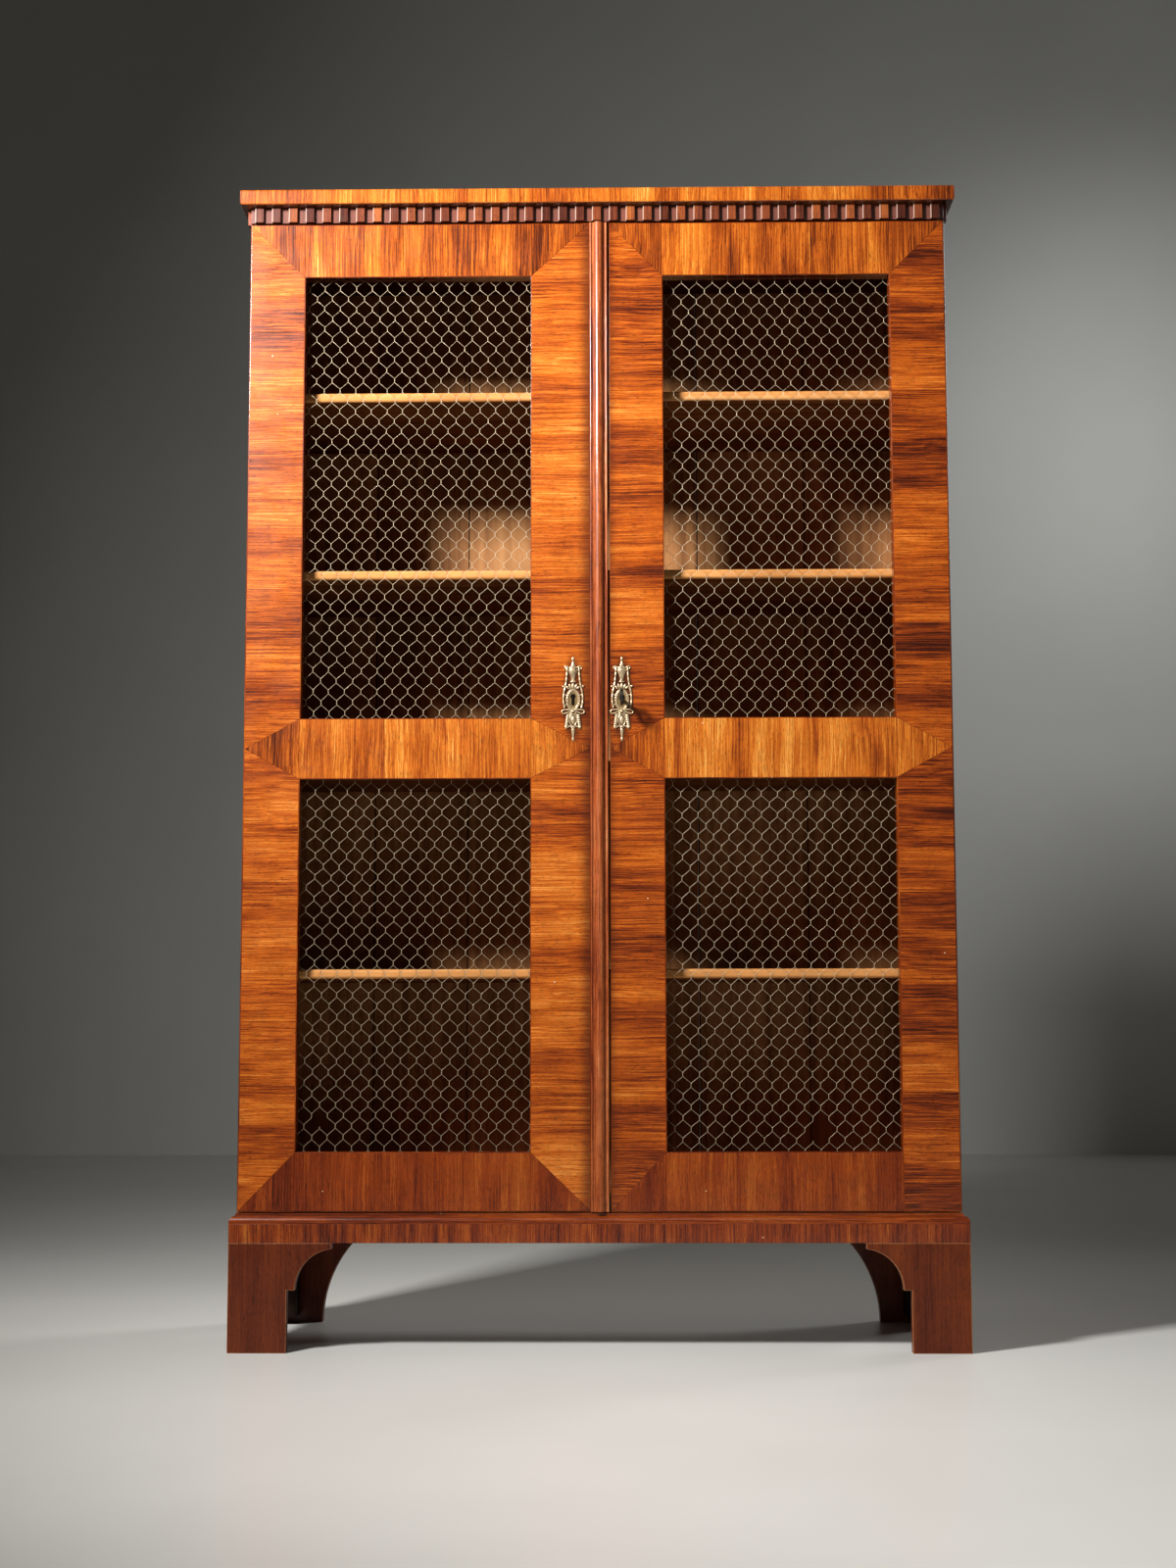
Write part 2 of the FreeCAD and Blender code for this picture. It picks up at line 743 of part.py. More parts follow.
def meeting_stile(name, side, edge):
    """The stile at the middle, up to its meeting edge."""
    stile = piece(f"{name}_meeting_stile")
    stile_x = ("-opening_in", edge) if side < 0 else (edge, "opening_in")
    block(stile, stile_x, door_y_span, ("door_low", "door_high"))
    mortise_x = across(side, "opening_in - tenon_length", "opening_in")
    cut_for_rails(stile, mortise_x, across(side, "opening_in - rebate_width", "opening_in"))
    return stile


def door_rail(name, side, rail):
    """A rail with a tenon at each end and a rebate behind each opening beside it."""
    low, high = rails[rail]
    body = piece(f"{name}_{rail}_rail")
    block(body, across(side, "opening_in", "opening_out"), door_y_span, (low, high))
    tenon_x = across(side, "opening_in - tenon_length", "opening_out + tenon_length")
    block(body, tenon_x, tenon_y_span, tenon_span(rail))
    rail_x = across(side, "opening_in", "opening_out")
    if rail != "top":
        sink(body, rail_x, rebate_y_span, (f"{high} - rebate_width", high))
    if rail != "bottom":
        sink(body, rail_x, rebate_y_span, (low, f"{low} + rebate_width"))


def upright_rectangle(left, right, low, high):
    """A closed outline in the XZ plane."""
    corners = ((left, low), (right, low), (right, high), (left, high), (left, low))
    return Part.makePolygon([FreeCAD.Vector(x, 0, z) for x, z in corners])


def net_cell(centre_x, centre_z, pitch, row, twist, strand):
    """One six-sided gap between two upright twists, drawn in by half a strand."""
    half_width = pitch / 2 - strand / 2
    slope = (row - twist) / (pitch / 2)
    apex = row - twist / 2 - strand / 2 * math.hypot(1, slope)
    shoulder = apex - slope * half_width
    corners = (
        (half_width, -shoulder),
        (half_width, shoulder),
        (0, apex),
        (-half_width, shoulder),
        (-half_width, -shoulder),
        (0, -apex),
        (half_width, -shoulder),
    )
    return Part.Face(Part.makePolygon([FreeCAD.Vector(centre_x + x, 0, centre_z + z) for x, z in corners]))


def net(name, side, opening):
    """Wire net drawn as one flat sheet with six-sided gaps, cut off at the opening's edges."""
    low, high = (amount_of(level) for level in openings[opening])
    left, right = sorted((side * amount_of("opening_in"), side * amount_of("opening_out")))
    lap = amount_of("net_lap")
    strand = amount_of("net_strand")
    pitch = (right - left) / amount_of("net_columns")
    rows = round((high - low) / pitch / amount_of("net_row_share"))
    row = (high - low) / rows
    twist = pitch * amount_of("net_twist_share")
    window = Part.Face(upright_rectangle(left, right, low, high))
    least_gap = pitch * strand
    gaps = []
    for level in range(rows + 1):
        shift = pitch / 2 * (level % 2)
        for column in range(int(amount_of("net_columns")) + 1):
            cell = net_cell(left + column * pitch + shift, low + level * row, pitch, row, twist, strand)
            kept = cell.common(window)
            if kept.Area > least_gap:
                gaps.append(kept.Faces[0].OuterWire)
    rim = upright_rectangle(left - lap, right + lap, low - lap, high + lap)
    sheet_face = Part.makeFace([rim] + gaps, "Part::FaceMakerBullseye")
    feature = doc.addObject("Part::Feature", f"{name}_{opening}_net")
    feature.Label = f"{name}_{opening}_net"
    feature.Shape = sheet_face.extrude(FreeCAD.Vector(0, amount_of("net_thick"), 0))
    place(feature, "0", "rebate_y", "0")
    pieces.append(feature)
    return len(gaps)


def net_beads(name, side):
    """Slips that hold the nets in their rebates, four behind each opening."""
    beads = piece(f"{name}_net_beads")
    bead_y = ("rebate_y + net_thick", "door_back")
    for low, high in openings.values():
        full_z = (f"{low} - net_lap", f"{high} + net_lap")
        block(beads, across(side, "opening_in - net_lap", "opening_in"), bead_y, full_z)
        block(beads, across(side, "opening_out", "opening_out + net_lap"), bead_y, full_z)
        between_x = across(side, "opening_in + bead_joint", "opening_out - bead_joint")
        block(beads, between_x, bead_y, (f"{low} - net_lap", low))
        block(beads, between_x, bead_y, (high, f"{high} + net_lap"))


def pivots(name, side):
    """Hinge leaves with pins for both ends of the outer stile; a collar at the foot carries the door."""
    body = piece(f"{name}_pivots")
    axis = (signed(side, "pivot_x"), "pivot_y")
    block(body, leaf_x_span(side), leaf_y_span, ("door_low", "door_low + leaf_thick"))
    rod(body, axis, "Z", ("floor_z", "door_low"), "collar_radius")
    rod(body, axis, "Z", ("floor_z - pin_length", "door_low"), "pin_radius")
    block(body, leaf_x_span(side), leaf_y_span, ("door_high - leaf_thick", "door_high"))
    rod(body, axis, "Z", ("door_high", "frieze_z + pin_length"), "pin_radius")


def keyhole(body, side, span):
    """A round hole with a slot under it."""
    centre_x = signed(side, "lock_x")
    bore(body, (centre_x, "lock_z"), "Y", span, "key_hole")
    slot_x = (f"{centre_x} - key_slot", f"{centre_x} + key_slot")
    sink(body, slot_x, span, ("lock_z - chamber_radius", "lock_z"))


def flipped(corners):
    """A closed outline turned over from right to left; an arc still turns the same way."""
    after = corners[1:] + corners[:1]
    turned = [(-x, z, *arc) for (x, z, *_), (_, _, *arc) in zip(corners, after)]
    return turned[::-1]


def mirrored(half_outline):
    """A whole outline from its right half."""
    left = [(-x, z, *arc) for (x, z, *_), (_, _, *arc) in zip(half_outline, half_outline[1:])]
    if half_outline[-1][0]:
        left.append((-half_outline[-1][0], half_outline[-1][1]))
    if half_outline[0][0]:
        return list(half_outline) + left[::-1]
    return left[:1] + list(half_outline[1:]) + left[:0:-1]


def oval(half_width, half_height, end_radius, middle):
    """A four-centred oval."""
    rise = half_height - end_radius
    side_radius = (half_width**2 + rise**2 - end_radius**2) / (2 * (half_width - end_radius))
    share = side_radius / (side_radius - end_radius)
    x = half_width - side_radius + (side_radius - half_width) * share
    z = rise * share
    return [
        (x, middle + z, end_radius, -1),
        (x, middle - z, side_radius, -1),
        (-x, middle - z, end_radius, -1),
        (-x, middle + z, side_radius, -1),
    ]


def planted(body, side, thick, *outlines):
    """Part of an escutcheon, as thick as given, moved from its drawing to its place on a door."""
    centre_x = signed(side, "lock_x")
    moved = []
    for corners in outlines:
        moved.append([])
        for x, z, *arc in corners:
            bend = (f"{arc[0]:.3f}", arc[1]) if arc else ()
            moved[-1].append((f"{centre_x} + {x:.3f}", f"lock_z + {z:.3f}", *bend))
    prism(body, "XZ_Plane", (f"door_y - {thick}", "door_y"), *moved)


def escutcheon(name, side):
    """Pierced plate: urn between straps, oval keyhole, ribbon bow, boss between sprigs, and a drop."""
    body = piece(f"{name}_escutcheon")
    planted(body, side, "field_thick", oval(*RIM_OVAL))
    planted(body, side, "relief", oval(*RIM_OVAL), oval(*FIELD_OVAL))
    planted(body, side, "strap_thick", mirrored(LEAF_HALF))
    planted(body, side, "relief", mirrored(URN_HALF))
    planted(body, side, "strap_thick", mirrored(BOW_HALF), BOW_LOOP, flipped(BOW_LOOP))
    planted(body, side, "relief", oval(*BOSS_OVAL))
    planted(body, side, "relief", mirrored(DROP_HALF))
    for strip in (STRAP, SPRIG):
        planted(body, side, "strap_thick", strip)
        planted(body, side, "strap_thick", flipped(strip))
    keyhole(body, side, ("door_y - relief", "door_y"))


gap_count = 0
for side, name in ((-1, "left"), (1, "right")):
    outer_stile(name, side)
    for rail in rails:
        door_rail(name, side, rail)
    for opening in openings:
        gap_count += net(name, side, opening)
    net_beads(name, side)
    pivots(name, side)
    escutcheon(name, side)

sockets = piece("pivot_sockets")
for side in (-1, 1):
    for plate_z in (low_plate, high_plate):
        block(sockets, leaf_x_span(side), leaf_y_span, plate_z)
        bore(sockets, (signed(side, "pivot_x"), "pivot_y"), "Z", plate_z, "pin_radius + pin_play")


# Left door: astragal, strike plate and slide bolts

bolt_z = ("lock_z + bolt_low", "lock_z + bolt_low + bolt_height")
bolt_y = ("chamber_y + bolt_play", "chamber_back - bolt_play")
left_stile = meeting_stile("left", -1, "left_meet")
sink(left_stile, ("left_meet - bolt_room", "left_meet"), ("chamber_y", "chamber_back"), bolt_z)
strike_z = (f"{bolt_z[0]} - strike_margin", f"{bolt_z[1]} + strike_margin")
strike_x = ("left_meet - strike_thick", "left_meet")
strike_y = ("chamber_y - lock_front_wall", "chamber_back + lock_front_wall")
sink(left_stile, strike_x, strike_y, strike_z)
strike = piece("strike_plate")
block(strike, strike_x, strike_y, strike_z)
sink(strike, strike_x, ("chamber_y", "chamber_back"), bolt_z)

astragal = piece("astragal")
bead_in = "left_meet - astragal_bead"
reed_right = "left_meet - astragal_bead - astragal_quirk"
reed_left = f"{reed_right} - astragal_reed"
bead_right = f"{reed_left} - astragal_quirk"
bead_left = f"{bead_right} - astragal_bead"
quirk_y = "door_y - astragal_base"
prism(astragal, "XY_Plane", ("door_low", "door_high"), [
    (bead_left, "door_y"),
    ("left_meet", "door_y"),
    ("left_meet", quirk_y),
    (bead_in, quirk_y, "astragal_bead_radius", -1),
    (reed_right, quirk_y),
    (reed_left, quirk_y, "astragal_reed_radius", -1),
    (bead_right, quirk_y),
    (bead_left, quirk_y, "astragal_bead_radius", -1),
])

guides = piece("slide_bolt_guides")
plate_y = ("door_back", "door_back + guide_thick")
guide_x = ("slide_x - guide_half", "slide_x + guide_half")
lug_x = ("slide_x - lug_half", "slide_x + lug_half")
top_guide_z = ("door_high - guide_end - guide_length", "door_high - guide_end")
rest_level = "floor_z + bottom_thick + slide_lift"
low_guide_z = (f"{rest_level} + guide_end", f"{rest_level} + guide_end + guide_length")
for low, high in (top_guide_z, low_guide_z):
    block(guides, guide_x, plate_y, (low, high))
    lug_y = ("door_back", "door_back + lug_reach")
    for lug_z in ((low, f"{low} + lug_length"), (f"{high} - lug_length", high)):
        block(guides, lug_x, lug_y, lug_z)
    slide_way(guides, (low, high), "slide_play")


def slide_bolt(label, span, thumb_z):
    """A flat bolt with a thumb-piece to push it by."""
    body = piece(label)
    bar_x = ("slide_x - slide_half", "slide_x + slide_half")
    block(body, bar_x, ("slide_y - slide_deep", "slide_y + slide_deep"), span)
    thumb_span = (f"{thumb_z} - thumb_half", f"{thumb_z} + thumb_half")
    block(body, bar_x, ("slide_y", "slide_y + thumb_length"), thumb_span)


top_tip = "door_high - slide_tip"
slide_bolt("top_bolt", (f"{top_tip} - slide_length", top_tip), f"{top_guide_z[0]} + thumb_in")
slide_bolt("bottom_bolt", (rest_level, f"{rest_level} + slide_length"), f"{low_guide_z[1]} - thumb_in")


# Right door: lock with its bolt, and the key

lock_x_span = ("right_meet", "right_meet + lock_width")
lock_y_span = ("lock_y", "door_back")
lock_z_span = ("lock_z - lock_below", "lock_z + lock_above")
right_stile = meeting_stile("right", 1, "right_meet")
sink(right_stile, lock_x_span, lock_y_span, lock_z_span)
keyhole(right_stile, 1, ("door_y", "lock_y"))

lock_axis = ("lock_x", "lock_z")
lock_case = piece("lock_case")
block(lock_case, lock_x_span, lock_y_span, lock_z_span)
bore(lock_case, lock_axis, "Y", ("chamber_y", "chamber_back"), "chamber_radius")
bore(lock_case, lock_axis, "Y", ("lock_y", "chamber_y"), "key_shank + pin_play")
bit_slot = ("lock_x - key_slot", "lock_x + key_slot")
sink(lock_case, bit_slot, ("lock_y", "chamber_y"), ("lock_z - chamber_radius", "lock_z"))
channel_x = ("right_meet", "right_meet + bolt_length + bolt_room")
sink(lock_case, channel_x, ("chamber_y", "chamber_back"), bolt_z)

lock_bolt = piece("lock_bolt")
bolt_x = ("right_meet + bolt_play", "right_meet + bolt_length")
bolt_low_z = f"{bolt_z[0]} + bolt_play"
block(lock_bolt, bolt_x, bolt_y, (bolt_low_z, f"{bolt_z[1]} - bolt_play"))
notch_x = ("lock_x - bolt_notch", "lock_x + bolt_notch + bolt_room / 2")
sink(lock_bolt, notch_x, bolt_y, (bolt_low_z, f"{bolt_low_z} + bolt_notch_height"))

key = piece("key")
bow_y = "door_y - key_reach + key_bow"
bow_x = ("lock_x - key_bow_half", "lock_x + key_bow_half")
rod(key, (bow_y, "lock_z"), "X", bow_x, "key_bow")
bore(key, (bow_y, "lock_z"), "X", bow_x, "key_bow - key_bow_wire")
shank_y = f"{bow_y} + key_bow - key_bow_half"
rod(key, lock_axis, "Y", (shank_y, "chamber_back - bit_play"), "key_shank")
collar_y = (f"{shank_y} + key_collar_set", f"{shank_y} + key_collar_set + key_collar_length")
rod(key, lock_axis, "Y", collar_y, "key_collar")
bit_x = ("lock_x - bit_half", "lock_x + bit_half")
bit_y = ("chamber_y + bit_play", "chamber_back - bit_play")
block(key, bit_x, bit_y, ("lock_z - bit_height", "lock_z - key_shank / 2"))


# Check every object, then write the files

doc.recompute()
for item in doc.Objects:
    if "Invalid" in item.State or "Error" in item.State:
        raise RuntimeError(f"{item.Label} failed: {item.State}")
for item in pieces:
    if item.Shape.isNull() or not item.Shape.isValid() or item.Shape.Volume <= 0:
        raise RuntimeError(f"{item.Label} has no valid shape")
os.makedirs("parts", exist_ok=True)
for item in pieces:
    item.Shape.exportStep(f"parts/{item.Label}.step")
print(f"{len(pieces)} pieces, {gap_count} net gaps")
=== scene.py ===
import math
import random

import bmesh
import bpy
from mathutils import Euler, Matrix, Vector, noise


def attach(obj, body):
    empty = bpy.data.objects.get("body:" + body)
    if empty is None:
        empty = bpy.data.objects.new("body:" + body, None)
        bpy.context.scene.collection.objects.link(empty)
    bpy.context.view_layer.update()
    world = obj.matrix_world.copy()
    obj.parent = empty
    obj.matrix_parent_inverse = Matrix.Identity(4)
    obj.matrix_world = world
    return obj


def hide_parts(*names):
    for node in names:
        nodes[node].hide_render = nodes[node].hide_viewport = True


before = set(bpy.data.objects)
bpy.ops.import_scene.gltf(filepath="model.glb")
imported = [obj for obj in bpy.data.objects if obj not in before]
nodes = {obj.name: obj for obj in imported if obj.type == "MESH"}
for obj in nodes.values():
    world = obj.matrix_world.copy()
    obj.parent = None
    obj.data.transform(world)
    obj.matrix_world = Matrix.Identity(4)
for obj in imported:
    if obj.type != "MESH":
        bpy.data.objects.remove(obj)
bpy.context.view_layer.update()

# Two-door display cabinet in crossbanded mahogany, with brass wire net in the doors.
# Metres, in the frame of the solids: the doors face -Y and the floor is at Z 0.

MM = 0.001
DOOR_FACE = -0.164
LEAF_THICK = 0.0004
LEAF_EASE = 0.00025
LEAF_JOINT = 0.0002
LEAF_SHIFT = 9
DOOR_MARGIN = 0.0011
ARRIS_MARGIN = 0.0021

# Edges of the doors: outer edge, opening, and where the veneer stops beside the astragal.
OUTER_X = 0.5625
OPENING_OUT = 0.4725
OPENING_IN = 0.1065
LEFT_INNER = -0.0119
RIGHT_INNER = 0.0202
DOOR_LOW = 0.214
LOW_SILL = 0.3055
LOW_HEAD = 0.8895
HIGH_SILL = 0.9865
HIGH_HEAD = 1.7085
DOOR_HIGH = 1.797
ARROW_Z = (LOW_HEAD + HIGH_SILL) / 2

LOCK_X = 0.0387
LOCK_Z = 1.015

# Depths in y: the back of the doors, the face of the bolt guides, and where the shelves' painted shade stops.
DOOR_BACK = -0.139
GUIDE_FACE = -0.137
NOSING_Y = -0.126

# Widths of the eased arrises: joinery, case sides, feet and ironwork.
JOINERY_ARRIS = 0.0006
SIDE_ARRIS = 0.0008
FOOT_ARRIS = 0.0009
IRON_ARRIS = 0.0005

# Dentils: pitch and depths of front and ground, then place and half width of the painted arris highlight in
# one pitch.
DENTIL_PITCH = 0.0274
DENTIL_DEPTHS = (-0.1690, -0.1645)
DENTIL_HIGHLIGHT_AT = 0.265
DENTIL_HIGHLIGHT_HALF = 0.024

# The back boards meet at these places in x, and their joints have opened to a dark line.
BOARD_JOINTS = (-0.392, -0.230, -0.018, 0.172, 0.361)
BOARD_GAP = 0.0008
# Cut nails hold the boards: distance along and between the rows, height of the lowest, and the head.
NAIL_PITCH = 0.063
NAIL_ROWS = 0.795
NAIL_LOW = 0.222
NAIL_RADIUS = 0.0024


def srgb(text):
    """A hex colour as linear light."""
    parts = [int(text[place:place + 2], 16) / 255 for place in (1, 3, 5)]
    linear = [p / 12.92 if p <= 0.04045 else ((p + 0.055) / 1.055) ** 2.4 for p in parts]
    return (*linear, 1.0)


def add(tree, kind, feeds=None, **settings):
    """One shader node with its settings; feeds gives its inputs, each a value or a socket."""
    node = tree.nodes.new(f"ShaderNode{kind}")
    for name, value in settings.items():
        setattr(node, name, value)
    for name, feed in (feeds or {}).items():
        socket = node.inputs[name]
        if isinstance(feed, bpy.types.NodeSocket):
            tree.links.new(feed, socket)
        else:
            socket.default_value = feed
    return node


def reckon(tree, operation, *feeds, kind="Math"):
    """The result of a sum with values, or with vectors where kind is VectorMath."""
    return add(tree, kind, dict(enumerate(feeds)), operation=operation).outputs[0]


def remap(tree, feed, low, high, start, end, **settings):
    """A value carried from the range low to high over to start to end."""
    return add(tree, "MapRange", {0: feed, 1: low, 2: high, 3: start, 4: end}, **settings).outputs[0]


def blend(tree, share, under, over, how="MIX"):
    """A share of one colour over another."""
    return add(tree, "Mix", {0: share, 6: under, 7: over}, data_type="RGBA", blend_type=how).outputs[2]


def tone_ramp(tree, feed, tones):
    """The colour for a value; tones are pairs of place and hex colour or grey value."""
    node = add(tree, "ValToRGB", {0: feed})
    ramp = node.color_ramp
    while len(ramp.elements) < len(tones):
        ramp.elements.new(0.5)
    for stop, (place, tone) in zip(ramp.elements, tones):
        stop.position = place
        stop.color = srgb(tone) if isinstance(tone, str) else (tone, tone, tone, 1.0)
    return node.outputs[0]


def new_finish(name):
    """An empty material and its node tree."""
    finish = bpy.data.materials.new(name)
    finish.use_nodes = True
    finish.node_tree.nodes.clear()
    return finish, finish.node_tree


# Finishes

# How much each width of stripe adds to the figure of the wood.
FIGURE_SHARES = {"bands": 1.4, "streaks": 0.7, "lines": 1.25}
# Widths across the grain in millimetres. Pores are drawn three times too coarse, so that they show.
LINE_MM = 1.5
PORE_MM = 1.0
# Dirt and painted shade lie beside the astragal within these distances, old polish and painted shade round
# the escutcheons in a tall oval.
DIRT_AND_SHADE_X = (0.012, 0.036)
POLISH_AND_SHADE_HALF = (0.0165, 0.068)
# From here outward the cornice slab's crossbanding turns darker, over the given width.
SLAB_TURN = 0.44
SLAB_FADE = 0.1


def lie(axis, stretch):
    """Scales of a pattern that runs along one axis; stretch is its width over its length."""
    return tuple(stretch if axis == other else 1.0 for other in "XYZ")


def polished_mahogany(name, tones, grain, band=60, streak=5, top_grain=None, dirt_and_shade=False, teeth=None,
                      hollow=None, ends=None, polish=0.5, rough=(0.24, 0.36), contrast=1.0):
    """French-polished mahogany. The eye gets stripes along the grain, dark pores and a soft gloss.

    band and streak are widths across the grain in millimetres. teeth is the axis that a row of dentils
    runs along, hollow the depths of their front and ground, and ends where a long piece turns darker.
    """
    finish, tree = new_finish(name)
    place = add(tree, "TexCoord").outputs
    shift = add(tree, "Attribute", attribute_name="leaf_shift").outputs["Vector"]
    tone = add(tree, "Attribute", attribute_name="leaf_tone").outputs["Fac"]
    facing = add(tree, "SeparateXYZ", {0: place["Normal"]}).outputs
    split = add(tree, "SeparateXYZ", {0: place["Object"]}).outputs
    moved = reckon(tree, "ADD", place["Object"], shift, kind="VectorMath")
    # A slow sway keeps the stripes from being ruled lines.
    sway = add(tree, "TexNoise", {"Vector": moved, "Scale": 1000 / 110, "Detail": 2.0}).outputs["Color"]
    swayed = reckon(tree, "MULTIPLY_ADD", sway, (0.007, 0.007, 0.007), moved, kind="VectorMath")
    figure = 0.5 - 0.5 * contrast * sum(FIGURE_SHARES.values())
    for layer, width, stretch, detail in (("bands", band, 0.12, 2.0), ("streaks", streak, 0.03, 3.0),
                                          ("lines", LINE_MM, 0.014, 1.0), ("pores", PORE_MM, 0.12, 1.0)):
        run = lie(grain, stretch)
        if top_grain:
            upward = reckon(tree, "GREATER_THAN", facing["Z"], 0.7)
            turned = add(tree, "Mix", {0: upward, 4: run, 5: lie(top_grain, stretch)}, data_type="VECTOR")
            run = turned.outputs[1]
        drawn = reckon(tree, "MULTIPLY", swayed, run, kind="VectorMath")
        grown = add(tree, "TexNoise", {"Vector": drawn, "Scale": 1000 / width, "Detail": detail,
                                       "Roughness": 0.6}).outputs["Fac"]
        if layer in FIGURE_SHARES:
            figure = reckon(tree, "MULTIPLY_ADD", grown, FIGURE_SHARES[layer] * contrast, figure)
    toned = reckon(tree, "ADD", figure, tone)
    if teeth:
        # Every dentil was sawn from another place in the board, so each has its own tone.
        number = reckon(tree, "MULTIPLY_ADD", split[teeth], 1 / DENTIL_PITCH, 0.5)
        whole = reckon(tree, "FLOOR", number)
        chance = add(tree, "TexWhiteNoise", {"W": whole}, noise_dimensions="1D").outputs["Value"]
        toned = reckon(tree, "ADD", toned, remap(tree, chance, 0, 1, -0.3, 0.3))
    if ends:
        # The crossbanding is redder and darker towards both ends.
        aside = reckon(tree, "ABSOLUTE", split["X"])
        toned = reckon(tree, "ADD", toned, remap(tree, aside, ends, ends + SLAB_FADE, 0.0, -0.2))
    colour = tone_ramp(tree, toned, tones)
    pore_mask = tone_ramp(tree, grown, [(0.55, 1.0), (0.72, 0.45)])
    # Light runs across the figure in patches, as it does over curled fibres.
    curl = add(tree, "TexNoise", {"Vector": moved, "Scale": 1000 / 30, "Detail": 3.0, "Distortion": 0.6})
    curl_mask = tone_ramp(tree, curl.outputs["Fac"], [(0.3, 0.8), (0.7, 1.0)])
    base = blend(tree, 1.0, colour, pore_mask, "MULTIPLY")
    base = blend(tree, 1.0, base, curl_mask, "MULTIPLY")
    if dirt_and_shade:
        # Old wax and dirt, with painted contact shade, darken the veneer beside the astragal.
        aside = reckon(tree, "ABSOLUTE", split["X"])
        dirt_and_shade_share = remap(tree, aside, *DIRT_AND_SHADE_X, 0.72, 0.0, interpolation_type="SMOOTHSTEP")
        base = blend(tree, dirt_and_shade_share, base, srgb("#3a1406"))
        # Old metal polish and painted shade darken the wood behind and close round the escutcheons.
        from_lock = add(tree, "CombineXYZ", {"X": aside, "Z": split["Z"]}).outputs[0]
        off = reckon(tree, "SUBTRACT", from_lock, (LOCK_X, 0, LOCK_Z), kind="VectorMath")
        oval_off = reckon(tree, "MULTIPLY", off, (1 / POLISH_AND_SHADE_HALF[0], 0, 1 / POLISH_AND_SHADE_HALF[1]), kind="VectorMath")
        reach = add(tree, "VectorMath", {0: oval_off}, operation="LENGTH").outputs["Value"]
        polish_and_shade_share = remap(tree, reach, 0.7, 1.25, 0.8, 0.0, interpolation_type="SMOOTHSTEP")
        base = blend(tree, polish_and_shade_share, base, srgb("#2a1006"))
    if hollow:
        # One arris of every dentil is painted pale as a highlight, and the sunk ground is painted a uniform
        # greyer brown as sheen.
        along = reckon(tree, "FRACT", number)
        arris = reckon(tree, "COMPARE", along, DENTIL_HIGHLIGHT_AT, DENTIL_HIGHLIGHT_HALF)
        base = blend(tree, arris, base, srgb("#ae9080"))
        sunk = remap(tree, split["Y"], *hollow, 0.0, 0.85)
        base = blend(tree, sunk, base, srgb("#6a4036"))
    # Under faces are painted dark as shade.
    under = remap(tree, facing["Z"], -0.4, -0.9, 0.0, 0.75)
    base = blend(tree, under, base, srgb("#241008"))
    # Small knocks go through the polish to paler wood.
    knocks = add(tree, "TexVoronoi", {"Vector": moved, "Scale": 1000 / 62}).outputs["Distance"]
    base = blend(tree, reckon(tree, "LESS_THAN", knocks, 0.02), base, srgb("#d9b08c"))
    rubbed = add(tree, "TexNoise", {"Vector": moved, "Scale": 1000 / 45, "Detail": 5.0,
                                    "Roughness": 0.6}).outputs["Fac"]
    dull = remap(tree, rubbed, 0.3, 0.7, *rough)
    # The polish has sunk unevenly, so its shine breaks up at the edges.
    ripple = add(tree, "Bump", {"Strength": 0.22, "Distance": 0.002, "Height": rubbed})
    relief = add(tree, "Bump", {"Strength": 0.1, "Distance": 0.0004, "Height": pore_mask})
    shader = add(tree, "BsdfPrincipled", {"Base Color": base, "Roughness": dull,
                                          "Normal": relief.outputs[0], "Specular IOR Level": 0.2,
                                          "Coat Weight": polish, "Coat Roughness": 0.13,
                                          "Coat Normal": ripple.outputs[0]})
    add(tree, "OutputMaterial", {0: shader.outputs[0]})
    return finish


